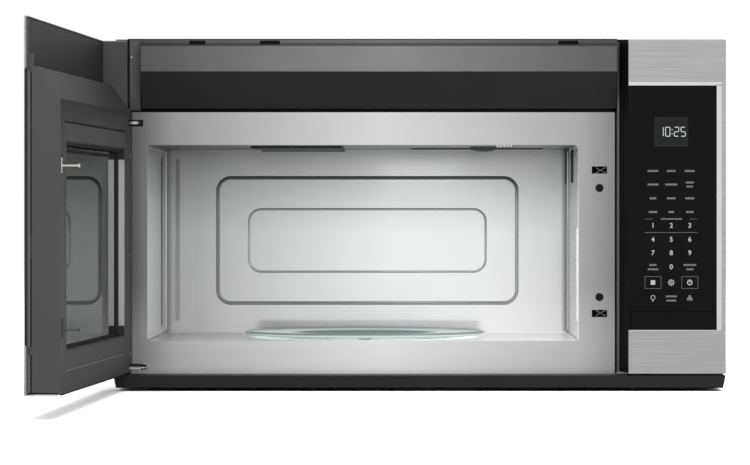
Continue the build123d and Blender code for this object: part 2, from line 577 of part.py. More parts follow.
# ---------------------------------------------------------------- vent at the top
def vent_housing():
    """Wedge-shaped outlet that fills the recess behind the door's top, slotted on top."""
    foot = (PLATE_Y, PLATE_TOP + VENT_FOOT_RISE)
    outline = [foot, VENT_RIDGE, VENT_BROW, (VENT_BROW[0], VENT_TOP), (PLATE_Y, VENT_TOP)]
    wall = VENT_WALL
    hollow = [(PLATE_Y + 1, foot[1] + wall), (foot[0] - wall, foot[1] + 2 * wall),
              (VENT_RIDGE[0] + wall, VENT_RIDGE[1] + wall / 2), (VENT_BROW[0] + wall, VENT_BROW[1]),
              (VENT_BROW[0] + wall, VENT_TOP - wall), (PLATE_Y + 1, VENT_TOP - wall)]
    housing = along_x(outline, VENT_X) - along_x(hollow, grow(VENT_X, -wall))
    count = int((VENT_X[1] - VENT_X[0] - 2 * VENT_SLOT_PITCH) // VENT_SLOT_PITCH)
    middle = sum(VENT_X) / 2
    slot_y = about((VENT_BROW[0] + PLATE_Y) / 2, VENT_SLOT[1] / 2)
    for index in range(count):
        centre = middle + VENT_SLOT_PITCH * (index - (count - 1) / 2)
        housing -= block(about(centre, VENT_SLOT[0] / 2), slot_y, (VENT_TOP - wall - 1, VENT_TOP + 1))
    return housing


def vent_end_cap():
    x = (PLATE_LEFT, VENT_X[0] - PANEL_GAP)
    cap = block(x, (PLATE_Y, PLATE_Y + 2), (PLATE_TOP + PANEL_GAP, CASE_TOP_UNDER))
    cap += block((x[0], x[0] + 2), (PLATE_Y, PLATE_Y + CORNER_RELIEF),
                 (PLATE_TOP + PANEL_GAP, CASE_TOP_UNDER))
    return cap


def charcoal_filter():
    x = (VENT_X[0] + 6, VENT_X[1] - 6)
    y = (PLATE_Y + 6, PLATE_Y + 6 + FILTER_THICKNESS)
    z = (PLATE_TOP, CASE_TOP_UNDER - 4)
    pad = block(x, y, z)
    pad -= block(grow(x, -6), (y[0] - 1, y[0] + 3), grow(z, -6))
    pad -= block(grow(x, -6), (y[1] - 3, y[1] + 1), grow(z, -6))
    return pad


# ---------------------------------------------------------------- underside
def grease_filters():
    """Two framed mesh filters that lie in the base."""
    filters = []
    z = (BASE_WALL, BASE_WALL + GREASE_FILTER[2])
    for side in (-1, 1):
        place = filter_place(side)
        mesh = block(*place, z)
        for face in (grow((z[0], z[0]), 1.5), grow((z[1], z[1]), 1.5)):
            mesh -= block(grow(place[0], -10), grow(place[1], -10), face)
        filters.append(mesh)
    return group(filters)


def cooktop_lamp_lens():
    x = about(0, LAMP_LENS[0] / 2 - PANEL_GAP)
    y = about(LAMP_LENS_Y, LAMP_LENS[1] / 2 - PANEL_GAP)
    lens = block(x, y, (0.3, BASE_WALL))
    return lens + block(grow(x, 3), grow(y, 3), (BASE_WALL, BASE_WALL + LAMP_LENS[2]))


def cooktop_lamps():
    """Two small tubular lamps in their sockets, above the lens."""
    lamps = []
    z = BASE_WALL + LAMP_LENS[2] + 5
    for side in (-1, 1):
        centre = side * LAMP_LENS[0] / 4
        lamp = rod_x(4, about(centre, 14), LAMP_LENS_Y, z)
        lamp += block(about(centre + side * 17, 4), about(LAMP_LENS_Y, 6), (BASE_WALL + LAMP_LENS[2], z + 5))
        lamps.append(lamp)
    return group(lamps)


# ---------------------------------------------------------------- power parts in the bay
def magnetron():
    """Finned anode in its yoke, with the antenna reaching into the waveguide."""
    x = (GUIDE_X[1], GUIDE_X[1] + MAGNETRON_SIZE[0])
    y = about(MAGNETRON_Y, MAGNETRON_SIZE[1] / 2)
    z = about(MAGNETRON_Z, MAGNETRON_SIZE[2] / 2)
    yoke = block(x, y, z) - block(grow(x, -YOKE_WALL[0]), grow(y, 1), grow(z, -YOKE_WALL[1]))
    fins = yoke + rod_x(MAGNETRON_TUBE, x, MAGNETRON_Y, MAGNETRON_Z)
    count, pitch, thickness, inset = MAGNETRON_FINS
    for index in range(count):
        fin_x = about(sum(x) / 2 + pitch * (index - (count - 1) / 2), thickness / 2)
        fins += block(fin_x, grow(y, -inset), grow(z, -YOKE_WALL[1]))
    return fins + rod_x(ANTENNA[0], (x[0] - ANTENNA[1], x[0]), MAGNETRON_Y, MAGNETRON_Z)


def waveguide():
    """Sheet duct on the cavity's side that carries the waves to the port."""
    guide = block(GUIDE_X, GUIDE_Y, GUIDE_Z)
    guide -= block((GUIDE_X[0] - 1, GUIDE_X[1] - SHEET), grow(GUIDE_Y, -SHEET), grow(GUIDE_Z, -SHEET))
    hole_x = grow((GUIDE_X[1], GUIDE_X[1]), SHEET + 1)
    return guide - rod_x(ANTENNA[0] + ANTENNA_GAP, hole_x, MAGNETRON_Y, MAGNETRON_Z)


def waveguide_cover():
    x = (CAVITY_X[1] - PORT_COVER[0], CAVITY_X[1])
    return block(x, grow(GUIDE_PORT_Y, PORT_COVER[1]), grow(GUIDE_PORT_Z, PORT_COVER[2]))


def transformer():
    """Laminated core with two windings on a foot plate."""
    x = about(FAN_X + TRANSFORMER_PLACE[0], TRANSFORMER_SIZE[0] / 2)
    y = (PLATE_Y + TRANSFORMER_PLACE[1], PLATE_Y + TRANSFORMER_PLACE[1] + TRANSFORMER_SIZE[1])
    top = FLOOR_TOP + TRANSFORMER_SIZE[2]
    foot_top = FLOOR_TOP + TRANSFORMER_FOOT[0]
    core = block(x, y, (FLOOR_TOP, foot_top)) + block(grow(x, -TRANSFORMER_FOOT[1]), y, (foot_top, top))
    coil_z = (FLOOR_TOP + WINDING_INSET[1], top - WINDING_INSET[2])
    coil = block(x, grow(y, -WINDING_INSET[0]), coil_z)
    return core + fillet(coil.edges().filter_by(Axis.Y), WINDING_RADIUS)


def capacitor():
    x = (BAY_X[0] + CAPACITOR_PLACE[0], BAY_X[0] + CAPACITOR_PLACE[0] + CAPACITOR_SIZE[0])
    y = (PLATE_Y + CAPACITOR_PLACE[1], PLATE_Y + CAPACITOR_PLACE[1] + CAPACITOR_SIZE[1])
    top = FLOOR_TOP + CAPACITOR_SIZE[2]
    can = fillet(block(x, y, (FLOOR_TOP, top)).edges().filter_by(Axis.Z), CAPACITOR_RADIUS)
    for terminal_y in about(sum(y) / 2, TERMINAL[2] / 2):
        can += rod_z(TERMINAL[0], sum(x) / 2, terminal_y, (top, top + TERMINAL[1]))
    return can


def diode():
    x = BAY_X[0] + DIODE_PLACE[0]
    y = (PLATE_Y + DIODE_PLACE[1], PLATE_Y + DIODE_PLACE[1] + DIODE[1])
    lead = rod_y(DIODE[0], x, y, FLOOR_TOP + DIODE[0])
    tab_y = (y[0] - DIODE_TAB[1], y[0] + 1)
    return lead + block(about(x, DIODE_TAB[0] / 2), tab_y, (FLOOR_TOP, FLOOR_TOP + DIODE_TAB[2]))


def cooling_fan_shroud():
    x = about(FAN_X, FAN_PLATE[0] / 2)
    y = (FAN_PLATE_Y, FAN_PLATE_Y + FAN_PLATE[1])
    plate = block(x, y, (FLOOR_TOP, FAN_CENTRE_HEIGHT + FAN_PLATE[0] / 2))
    plate -= rod_y(FAN_HOLE, FAN_X, grow(y, 1), FAN_CENTRE_HEIGHT)
    for turn in range(3):
        arm = block((16, FAN_HOLE + 3), (y[1], y[1] + 4), (-4, 4))
        plate += Pos(FAN_X, 0, FAN_CENTRE_HEIGHT) * Rot(0, 120 * turn + 30, 0) * arm
    ring = rod_y(20, FAN_X, (y[1], y[1] + 4), FAN_CENTRE_HEIGHT)
    ring -= rod_y(FAN_SHAFT + 2, FAN_X, grow((y[1], y[1] + 4), 1), FAN_CENTRE_HEIGHT)
    return plate + ring


def cooling_fan_motor():
    y = (FAN_PLATE_Y + FAN_PLATE[1] + 4, FAN_PLATE_Y + FAN_PLATE[1] + 34)
    motor = rod_y(18, FAN_X, y, FAN_CENTRE_HEIGHT)
    return motor - rod_y(FAN_SHAFT + RUNNING_GAP, FAN_X, (y[0] - 1, y[1] - 6), FAN_CENTRE_HEIGHT)


def cooling_fan_blade():
    """Five-bladed axial rotor on its shaft."""
    y = (FAN_PLATE_Y - 8, FAN_PLATE_Y + 2)
    rotor = rod_y(FAN_HUB, 0, y, 0)
    for index in range(FAN_BLADES):
        blade = Pos((FAN_HUB + FAN_RADIUS) / 2 - 1, sum(y) / 2, 0) * Rot(25, 0, 0)
        blade *= Box(FAN_RADIUS - FAN_HUB + 2, 1.6, 22)
        rotor += Rot(0, 360 / FAN_BLADES * index, 0) * blade
    rotor += rod_y(FAN_SHAFT, 0, (y[1], FAN_PLATE_Y + FAN_PLATE[1] + 26), 0)
    return Pos(FAN_X, 0, FAN_CENTRE_HEIGHT) * rotor


def power_board():
    """Relay board on stand-offs, beside the case wall."""
    radius, length, inset = STANDOFF
    x = (BAY_X[1] - length - POWER_BOARD_SIZE[0], BAY_X[1] - length)
    y = (PLATE_Y + POWER_BOARD_PLACE[0], PLATE_Y + POWER_BOARD_PLACE[0] + POWER_BOARD_SIZE[1])
    low = CAVITY_FLOOR + POWER_BOARD_PLACE[1]
    z = (low, low + POWER_BOARD_SIZE[2])
    board = block(x, y, z)
    for foot_y in grow(y, -inset):
        for foot_z in grow(z, -inset):
            board += rod_x(radius, (x[1], BAY_X[1]), foot_y, foot_z)
    count, pitch, first_y, first_z = RELAY_ROW
    for relay in range(count):
        relay_y = about(y[0] + first_y + pitch * relay, RELAY[1] / 2)
        board += block((x[0] - RELAY[0], x[0]), relay_y, about(z[0] + first_z, RELAY[2] / 2))
    return board


# ---------------------------------------------------------------- vent blower
def housing_x(side):
    near = side * BLOWER_HALF_SPAN
    far = side * (BLOWER_HALF_SPAN + HOUSING_SIZE[0])
    return (min(near, far), max(near, far))


def blower_housings():
    """Two scroll boxes on the cavity's roof, each open at both sides and at the back."""
    scrolls = []
    y = about(BLOWER_Y, HOUSING_SIZE[1] / 2)
    z = (CAVITY_ROOF, CAVITY_ROOF + HOUSING_SIZE[2])
    for side in (-1, 1):
        x = housing_x(side)
        scroll = block(x, y, z)
        scroll -= rod_x(HOUSING_BORE, grow(x, -HOUSING_WALL[0]), BLOWER_Y, BLOWER_Z)
        scroll -= rod_x(WHEEL_RADIUS - INLET_INSET, grow(x, 1), BLOWER_Y, BLOWER_Z)
        scroll -= block(grow(x, -HOUSING_WALL[0]), (BLOWER_Y, y[1] + 1), OUTLET_Z)
        scrolls.append(scroll)
    return group(scrolls)


def blower_motor():
    x = about(0, BLOWER_MOTOR_LENGTH / 2)
    motor = rod_x(BLOWER_MOTOR_RADIUS, x, BLOWER_Y, BLOWER_Z)
    foot_y = about(BLOWER_Y, BLOWER_MOTOR_FOOT[1] / 2)
    motor += block(about(0, BLOWER_MOTOR_FOOT[0] / 2), foot_y, (CAVITY_ROOF, BLOWER_Z))
    return motor - rod_x(BLOWER_SHAFT + RUNNING_GAP, grow(x, 1), BLOWER_Y, BLOWER_Z)


def blower_shaft():
    reach = BLOWER_HALF_SPAN + HOUSING_SIZE[0] / 2 + SHAFT_PAST_WHEEL
    return rod_x(BLOWER_SHAFT, (-reach, reach), BLOWER_Y, BLOWER_Z)


def blower_wheels():
    """Two squirrel-cage wheels with forward blades."""
    wheels = []
    for side in (-1, 1):
        centre = side * (BLOWER_HALF_SPAN + HOUSING_SIZE[0] / 2)
        x = about(centre, WHEEL_WIDTH / 2)
        wheel = rod_x(WHEEL_RADIUS, about(centre, WHEEL_PLATE / 2), 0, 0)
        wheel += rod_x(WHEEL_HUB[0], about(centre, WHEEL_HUB[1] / 2), 0, 0)
        for end in x:
            rim_x = about(end, WHEEL_PLATE / 2)
            rim = rod_x(WHEEL_RADIUS, rim_x, 0, 0)
            wheel += rim - rod_x(WHEEL_RADIUS - WHEEL_RIM, grow(rim_x, 1), 0, 0)
        chord, thickness, lean = WHEEL_BLADE
        for index in range(WHEEL_BLADES):
            place = Pos(centre, 0, WHEEL_RADIUS - chord / 2 - 1) * Rot(lean, 0, 0)
            wheel += Rot(360 / WHEEL_BLADES * index, 0, 0) * place * Box(WHEEL_WIDTH, thickness, chord)
        wheel -= rod_x(BLOWER_SHAFT, grow(x, WHEEL_PLATE), 0, 0)
        wheels.append(Pos(0, BLOWER_Y, BLOWER_Z) * wheel)
    return group(wheels)


def exhaust_duct():
    """Sheet box behind the blower that turns the air up to the outlet."""
    reach = BLOWER_HALF_SPAN + HOUSING_SIZE[0] + DUCT_PAST_HOUSING
    x = (-reach, reach)
    y = (HOUSING_BACK, BACK_INSIDE)
    z = (BLOWER_Z - DUCT_DROP, CASE_TOP_UNDER - DUCT_FRAME_HEIGHT)
    duct = block(x, y, z)
    duct -= block(grow(x, -SHEET), grow(y, -SHEET), (z[0] + SHEET, z[1] + 1))
    for side in (-1, 1):
        duct -= block(grow(housing_x(side), -HOUSING_WALL[0]), grow((y[0], y[0]), SHEET + 1), OUTLET_Z)
    lid = block(x, y, (z[1] - SHEET, z[1]))
    opening = block(about(0, DUCT_OPENING[0] / 2), DUCT_Y, grow((z[1] - SHEET, z[1]), 1))
    return duct + (lid - opening)


def damper_frame():
    """Collar under the case top, with bearings for the flap and a stop ledge."""
    x = about(0, DUCT_OPENING[0] / 2)
    z = (CASE_TOP_UNDER - DUCT_FRAME_HEIGHT, CASE_TOP_UNDER)
    collar = block(grow(x, DUCT_FRAME_MARGIN), grow(DUCT_Y, DUCT_FRAME_MARGIN), z)
    collar -= block(x, DUCT_Y, grow(z, 1))
    ledge_top = FLAP_Z - FLAP_THICKNESS / 2 - FLAP_STOP_GAP
    collar += block(x, (DUCT_Y[1] - FLAP_LEDGE[0], DUCT_Y[1]), (ledge_top - FLAP_LEDGE[1], ledge_top))
    return collar - rod_x(FLAP_PIN + RUNNING_GAP, grow(x, FLAP_PIN_REACH + 1), FLAP_Y, FLAP_Z)


def damper_flap():
    x = about(0, DUCT_OPENING[0] / 2 - FLAP_GAP)
    flap = block(x, (FLAP_Y, DUCT_Y[1] - FLAP_GAP), about(FLAP_Z, FLAP_THICKNESS / 2))
    return flap + rod_x(FLAP_PIN, grow(x, FLAP_GAP + FLAP_PIN_REACH), FLAP_Y, FLAP_Z)


# ---------------------------------------------------------------- turntable
def turntable_motor():
    length, width, thickness = MOTOR_EARS
    motor = rod_z(TURNTABLE_MOTOR[0], *CAVITY_MID, (MOTOR_TOP - TURNTABLE_MOTOR[1], MOTOR_TOP))
    ears_y = about(CAVITY_MID[1], width / 2)
    motor += block(about(CAVITY_MID[0], length / 2), ears_y, (MOTOR_TOP - thickness, MOTOR_TOP))
    bore_z = (MOTOR_TOP - COUPLER_DEPTH, MOTOR_TOP + 1)
    return motor - rod_z(COUPLER_SHAFT + RUNNING_GAP, *CAVITY_MID, bore_z)


def turntable_coupler():
    """Three-lobed drive on the motor's shaft."""
    coupler = rod_z(COUPLER_SHAFT, 0, 0, (MOTOR_TOP - COUPLER_DEPTH + 1, TRAY_BOTTOM - 4))
    coupler += rod_z(8, 0, 0, (RECESS_FLOOR + 2, TRAY_BOTTOM))
    for index in range(ROLLER_COUNT):
        lobe = block((0, COUPLER_RADIUS), (-3, 3), (TRAY_BOTTOM - 5, TRAY_BOTTOM))
        coupler += Rot(0, 0, 360 / ROLLER_COUNT * index) * lobe
    return Pos(*CAVITY_MID, 0) * coupler


def glass_tray():
    """Shallow glass plate with a rising rim."""
    top = TRAY_BOTTOM + TRAY_THICKNESS
    rim = TRAY_BOTTOM + TRAY_RIM
    points = [(0, TRAY_BOTTOM), (RECESS_RADIUS - 6, TRAY_BOTTOM), (TRAY_RADIUS - 6, TRAY_BOTTOM + 1.5),
              (TRAY_RADIUS, rim - 1), (TRAY_RADIUS, rim), (TRAY_RADIUS - 3, rim),
              (TRAY_RADIUS - 9, top + 0.5), (RECESS_RADIUS - 6, top), (0, top)]
    face = make_face(Plane.XZ * Polyline(points, close=True))
    return Pos(*CAVITY_MID, 0) * revolve(face, Axis.Z)


def roller_ring():
    """Ring with three axles that carries the rollers under the tray."""
    outer = ROLLER_TRACK - ROLLER_WIDTH / 2 - 1.5
    ring = ring_z(outer, outer - 5, 0, 0, about(ROLLER_AXIS_Z, 2))
    for index in range(ROLLER_COUNT):
        axle = rod_x(ROLLER_AXLE, (outer - 2, ROLLER_TRACK + ROLLER_WIDTH / 2 + 1.5), 0, ROLLER_AXIS_Z)
        ring += Rot(0, 0, 360 / ROLLER_COUNT * index) * axle
    return Pos(*CAVITY_MID, 0) * ring


def roller_wheel(index):
    x = about(ROLLER_TRACK, ROLLER_WIDTH / 2)
    wheel = rod_x(ROLLER_RADIUS, x, 0, ROLLER_AXIS_Z)
    wheel -= rod_x(ROLLER_AXLE + RUNNING_GAP, grow(x, 1), 0, ROLLER_AXIS_Z)
    return Pos(*CAVITY_MID, 0) * Rot(0, 0, 360 / ROLLER_COUNT * index) * wheel


# ---------------------------------------------------------------- latch side and small parts
def latch_board():
    """Moulded bracket behind the plate with a pocket for each hook."""
    x = (LATCH_X - LATCH_BOARD_SIDES[0], LATCH_X + LATCH_BOARD_SIDES[1])
    y = (PLATE_BACK, PLATE_BACK + LATCH_BOARD_DEPTH)
    z = (SLOT_LEVELS[0] - LATCH_BOARD_PAST_HOOK, SLOT_LEVELS[1] + LATCH_BOARD_PAST_HOOK)
    wall = LATCH_BOARD_WALL
    board = block(x, y, z)
    for level in SLOT_LEVELS:
        board -= block(grow(x, -wall), (y[0] - 1, y[1] - LATCH_POCKET[1]), about(level, LATCH_POCKET[0] / 2))
    web = (z[0] + LATCH_BOARD_PAST_HOOK + 13, z[1] - LATCH_BOARD_PAST_HOOK - 13)
    board -= block(grow(x, -wall), (y[0] + wall, y[1] + 1), web)
    for level in BUMPER_LEVELS:
        board -= rod_y(BUMPER_STEM + 1, LATCH_X, (y[0] - 1, y[0] + 4), level)
    return board


def interlock_switches():
    """Three snap switches behind the hook pockets."""
    y = (PLATE_BACK + LATCH_BOARD_DEPTH, PLATE_BACK + LATCH_BOARD_DEPTH + SWITCH_SIZE[1])
    x = about(LATCH_X + (LATCH_BOARD_SIDES[1] - LATCH_BOARD_SIDES[0]) / 2, SWITCH_SIZE[0] / 2)
    levels = (SLOT_LEVELS[0], SLOT_LEVELS[1] - SWITCH_PITCH / 2, SLOT_LEVELS[1] + SWITCH_PITCH / 2)
    return group([block(x, y, about(level, SWITCH_SIZE[2] / 2)) for level in levels])


def door_bumpers():
    bumpers = []
    for level in BUMPER_LEVELS:
        head = rod_y(BUMPER_RADIUS, LATCH_X, (PLATE_Y - BUMPER_HEIGHT, PLATE_Y), level)
        stem = rod_y(BUMPER_STEM, LATCH_X, (PLATE_Y, PLATE_BACK + BUMPER_TAIL), level)
        bumpers.append(head + stem)
    return group(bumpers)


def cavity_lamp():
    """Lamp in its holder, over the ceiling's lamp holes."""
    width, depth, height, wall = LAMP_HOLDER
    x = about(LAMP_X, width / 2)
    y = about(LAMP_Y, depth / 2)
    top = CAVITY_ROOF + height
    holder = block(x, y, (CAVITY_ROOF, top))
    holder -= block(grow(x, -wall), grow(y, -wall), (CAVITY_ROOF - 1, top - wall))
    bulb = Pos(LAMP_X, LAMP_Y, CAVITY_ROOF + LAMP_BULB[1]) * Sphere(LAMP_BULB[0])
    return holder + bulb + rod_z(LAMP_SOCKET[0], LAMP_X, LAMP_Y, (CAVITY_ROOF + LAMP_SOCKET[1], top))


def thermal_cutouts():
    radius, height = CUTOUT
    place = (CAVITY_MID[0] + CUTOUT_PLACE[0], PLATE_Y + CUTOUT_PLACE[1])
    disc = rod_z(radius, *place, (CAVITY_ROOF, CAVITY_ROOF + height))
    low = MAGNETRON_Z + MAGNETRON_SIZE[2] / 2
    other = rod_z(radius, GUIDE_X[1] + MAGNETRON_SIZE[0] / 2, MAGNETRON_Y, (low, low + height))
    return group([disc, other])


def cord_grommet():
    ring = rod_z(CORD_HOLE + 6, *CORD_PLACE, (CASE_TOP_UNDER - 2, CASE_TOP_UNDER))
    ring += rod_z(CORD_HOLE + 3, *CORD_PLACE, (CASE_TOP_UNDER, BODY_HEIGHT))
    return ring - rod_z(CORD_HOLE, *CORD_PLACE, (CASE_TOP_UNDER - 3, BODY_HEIGHT + 1))


# ---------------------------------------------------------------- hinges on the cabinet
def hinge_arms():
    """Two steel arms, each with its foot behind the plate and a pin on its lug."""
    arms = []
    for lug, pin_z in ((UPPER_LUG, (UPPER_LUG - LUG_GAP - BUSH_LENGTH, UPPER_LUG)),
                       (LOWER_LUG, (LOWER_LUG + LUG_THICKNESS, LOWER_LUG + LUG_THICKNESS
                                    + LUG_GAP + BUSH_LENGTH))):
        z = (lug, lug + LUG_THICKNESS)
        x = (PLATE_LEFT + SHEET + 1, PIVOT_X + LUG_REACH)
        arm = rod_z(LUG_RADIUS, PIVOT_X, PIVOT_Y, z)
        arm += block((PIVOT_X, x[1]), about(PIVOT_Y, LUG_RADIUS), z)
        arm += block(x, (PIVOT_Y, PLATE_BACK + 2), z)
        foot_low = max(lug - HINGE_FOOT_HEIGHT / 2, FLOOR_TOP)
        foot_high = min(foot_low + HINGE_FOOT_HEIGHT, PLATE_TOP - SHEET)
        arm += block(x, (PLATE_BACK, PLATE_BACK + 2), (foot_low, foot_high))
        arms.append(arm + rod_z(HINGE_PIN_RADIUS, PIVOT_X, PIVOT_Y, pin_z))
    return group(arms)


# ---------------------------------------------------------------- control panel
def panel_trim():
    """Stainless bracket-shaped trim: top band, right strip and bottom band."""
    y = (FRONT_Y, FRONT_Y + TRIM_SHEET)
    z = (DOOR_BOTTOM, DOOR_TOP)
    trim = block(PANEL_X, y, z)
    trim -= block((PANEL_X[0] - 1, PANEL_GLASS_X[1]), grow(y, 1), (GLASS_BOTTOM, GLASS_TOP))
    deep = (FRONT_Y, FRONT_Y + TRIM_RETURN)
    trim += block((SIDE_X - TRIM_SHEET, SIDE_X), deep, z)
    trim += block(PANEL_X, deep, (DOOR_TOP - TRIM_SHEET, DOOR_TOP))
    return trim + block(PANEL_X, deep, (DOOR_BOTTOM, DOOR_BOTTOM + TRIM_SHEET))


def panel_frame():
    """Moulded carrier behind the glass, open at the back."""
    x = (PANEL_LEFT + CHANNEL_WALL + PANEL_GAP, SIDE_X - TRIM_SHEET)
    y = (FRONT_Y + TRIM_SHEET, PLATE_Y)
    z = (FRAME_BOTTOM, FRAME_TOP)
    carrier = block(x, y, z)
    wall = PANEL_BACKING
    carrier -= block(grow(x, -wall), (FRONT_Y + GLASS_THICKNESS + wall, PLATE_Y + 1), grow(z, -wall))
    seat_x = (x[0] - 1, PANEL_GLASS_X[1])
    carrier -= block(seat_x, (FRONT_Y, FRONT_Y + GLASS_THICKNESS), (GLASS_BOTTOM, GLASS_TOP))
    for stud_x in grow(BOARD_X, -BOARD_STUD[1]):
        for stud_z in grow(BOARD_Z, -BOARD_STUD[1]):
            carrier += rod_y(BOARD_STUD[0], stud_x, (FRONT_Y + GLASS_THICKNESS + wall, BOARD_Y[0]), stud_z)
    return carrier


def touch_glass():
    z = (INSERT_Z[1] + PANEL_GAP, GLASS_TOP - PANEL_GAP)
    x = (PANEL_GLASS_X[0], PANEL_GLASS_X[1] - PANEL_GAP)
    return block(x, (FRONT_Y + GLASS_FACE_DROP, FRONT_Y + GLASS_THICKNESS), z)


def panel_insert():
    """Plain strip below the glass."""
    z = (INSERT_Z[0] + PANEL_GAP, INSERT_Z[1])
    x = (PANEL_GLASS_X[0] + INSERT_ENDS[0], PANEL_GLASS_X[1] - INSERT_ENDS[1])
    return block(x, (FRONT_Y + INSERT_DROP, FRONT_Y + GLASS_THICKNESS), z)


def finger_channel():
    """Leaning side wall of the control panel, beside the door's opening edge."""
    near = FRONT_Y + GLASS_THICKNESS + CHANNEL_START
    back = PLATE_Y
    left = PANEL_LEFT - CHANNEL_LEAN
    flange = CHANNEL_FLANGE
    points = [(PANEL_LEFT, near), (left, back - 4), (left - flange, back - 2), (left - flange, back),
              (PANEL_LEFT + CHANNEL_WALL, back), (PANEL_LEFT + CHANNEL_WALL, near)]
    hollow = [(PANEL_LEFT + CHANNEL_WALL + 1, near + 14), (left + 5, back - 4),
              (left + 5, back + 1), (PANEL_LEFT + CHANNEL_WALL + 1, back + 1)]
    z = (FRAME_BOTTOM, FRAME_TOP)
    channel = along_z(points, z) - along_z(hollow, grow(z, -2))
    return channel


def control_board():
    """Touch board with its display behind the glass and three chips."""
    board = block(BOARD_X, BOARD_Y, BOARD_Z)
    display_x = about(sum(PANEL_GLASS_X) / 2 + DISPLAY_SHIFT, DISPLAY_SIZE[0] / 2)
    display_z = about(BODY_HEIGHT - DISPLAY_FROM_TOP, DISPLAY_SIZE[2] / 2)
    board += block(display_x, (BOARD_Y[0] - DISPLAY_SIZE[1], BOARD_Y[0]), display_z)
    count, pitch, first = CHIP_COLUMN
    for row in range(count):
        chip_z = about(BOARD_Z[0] + first + pitch * row, CHIP[2] / 2)
        board += block(about(sum(BOARD_X) / 2, CHIP[0] / 2), (BOARD_Y[1], BOARD_Y[1] + CHIP[1]), chip_z)
    return board


# ---------------------------------------------------------------- door, built closed
# u runs from the hinge axis to the opening edge, v towards the cabinet.
def door_frame():
    """Moulded inner frame: full depth over the window, thin at the top with a bevel between."""
    outline = [(TRIM_BACK, FRAME_BOTTOM), (DOOR_INNER, FRAME_BOTTOM), (DOOR_INNER, BEVEL_FOOT),
               (BEVEL_TOP_V, BEVEL_TOP), (RECESS_FACE, BEVEL_TOP + 1), (RECESS_FACE, FRAME_TOP),
               (TRIM_BACK, FRAME_TOP), (TRIM_BACK, GLASS_TOP), (FRAME_FRONT, GLASS_TOP),
               (FRAME_FRONT, GLASS_BOTTOM), (TRIM_BACK, GLASS_BOTTOM)]
    frame = along_x(outline, (-DOOR_END, FRAME_EDGE))
    wall = DOOR_WALL
    hollow = [(FRAME_FRONT + wall, FRAME_BOTTOM + wall), (DOOR_INNER - wall, FRAME_BOTTOM + wall),
              (DOOR_INNER - wall, BEVEL_FOOT - 1), (BEVEL_TOP_V - 1, BEVEL_TOP - wall - 1),
              (FRAME_FRONT + wall, BEVEL_TOP - wall)]
    frame -= along_x(hollow, (DOOR_COLUMN, FRAME_EDGE - wall))
    frame += block((-DOOR_END, 4), (RECESS_FACE, 1.4), (BEVEL_FOOT, FRAME_TOP))
    frame += block((-HINGE_INSET + TRIM_SHEET, -DOOR_END), (TRIM_BACK, SKIN_BACK), (FRAME_BOTTOM, FRAME_TOP))
    frame += block((FRAME_EDGE, DOOR_EDGE), (FRAME_FRONT, FRAME_FRONT + FRAME_SEAM), (FRAME_BOTTOM, FRAME_TOP))
    groove = (FRAME_FRONT + FRAME_SEAM, FRAME_FRONT + FRAME_SEAM + GROOVE_WIDTH)
    frame -= block((FRAME_EDGE - GROOVE_DEPTH, FRAME_EDGE + 1), groove, (FRAME_BOTTOM - 1, BEVEL_TOP - 6))
    frame -= round_hinge_corner()
    frame -= window_and_cover_openings()
    for level in SLOT_LEVELS:
        slot_z = (level - DOOR_SLOT_BELOW, level - DOOR_SLOT_BELOW + DOOR_SLOT[1])
        frame -= block(about(LATCH_U, DOOR_SLOT[0] / 2), (0, DOOR_INNER + 1), slot_z)
    frame += latch_guides()
    for level in SCREW_LEVELS:
        frame -= rod_y(SCREW_RADIUS, SCREW_U, (DOOR_INNER - DOOR_WALL - 1, DOOR_INNER + 1), level)
    for lug, bush_z in hinge_levels():
        swing_z = (lug - LUG_GAP, lug + LUG_THICKNESS + LUG_GAP)
        frame -= block((-DOOR_END - 1, LUG_REACH + 8), (-LUG_RADIUS - 2, DOOR_INNER + 1), swing_z)
        frame -= rod_z(BUSH_RADIUS, 0, 0, bush_z)
    low = (FRAME_BOTTOM - 1, LOWER_LUG)
    frame -= block((-DOOR_END - 1, LUG_REACH + 8), (-LUG_RADIUS - 2, DOOR_INNER + 1), low)
    return frame


def round_hinge_corner():
    """What comes off the inner corner, so that it turns about the hinge axis."""
    corner = block((-DOOR_END - 1, 0), (0, DOOR_INNER + 1), (FRAME_BOTTOM - 1, FRAME_TOP + 1))
    return corner - rod_z(DOOR_END, 0, 0, (FRAME_BOTTOM - 1, FRAME_TOP + 1))


def window_and_cover_openings():
    front = block(grow(WINDOW_U, 4), (FRAME_FRONT - 1, FRAME_FRONT + DOOR_WALL + 1), grow(WINDOW_Z, 4))
    cover = rounded_y(grow(COVER_U, 0.5), (DOOR_INNER - DOOR_WALL - 1, DOOR_INNER + 1),
                      grow(COVER_Z, 0.5), COVER_CORNER + 0.5)
    return front + cover


def latch_guides():
    """Ribs beside the latch bar, the ledge under it and the spring's seat above it."""
    v = (FRAME_FRONT + DOOR_WALL, LATCH_V[1] + 1)
    near = LATCH_BAR[0] / 2 + LATCH_SIDE_GAP
    beside = about(sum(HOOK_LEVELS) / 2, LATCH_GUIDE_HEIGHT / 2)
    ribs = block((LATCH_U - near - LATCH_RIB, LATCH_U - near), v, beside)
    ribs += block((LATCH_U + near, FRAME_EDGE - DOOR_WALL), v, beside)
    across = (LATCH_U - near - LATCH_RIB, FRAME_EDGE - DOOR_WALL)
    low = LATCH_Z[0] - LATCH_END_GAP
    high = SPRING_Z[1] + LATCH_END_GAP
    return ribs + block(across, v, (low - LATCH_RIB, low)) + block(across, v, (high, high + LATCH_RIB))


def hinge_levels():
    """Each lug's underside, with the span of its bush."""
    upper = (UPPER_LUG - LUG_GAP - BUSH_LENGTH, UPPER_LUG - LUG_GAP)
    low_face = LOWER_LUG + LUG_THICKNESS + LUG_GAP
    return ((UPPER_LUG, upper), (LOWER_LUG, (low_face, low_face + BUSH_LENGTH)))


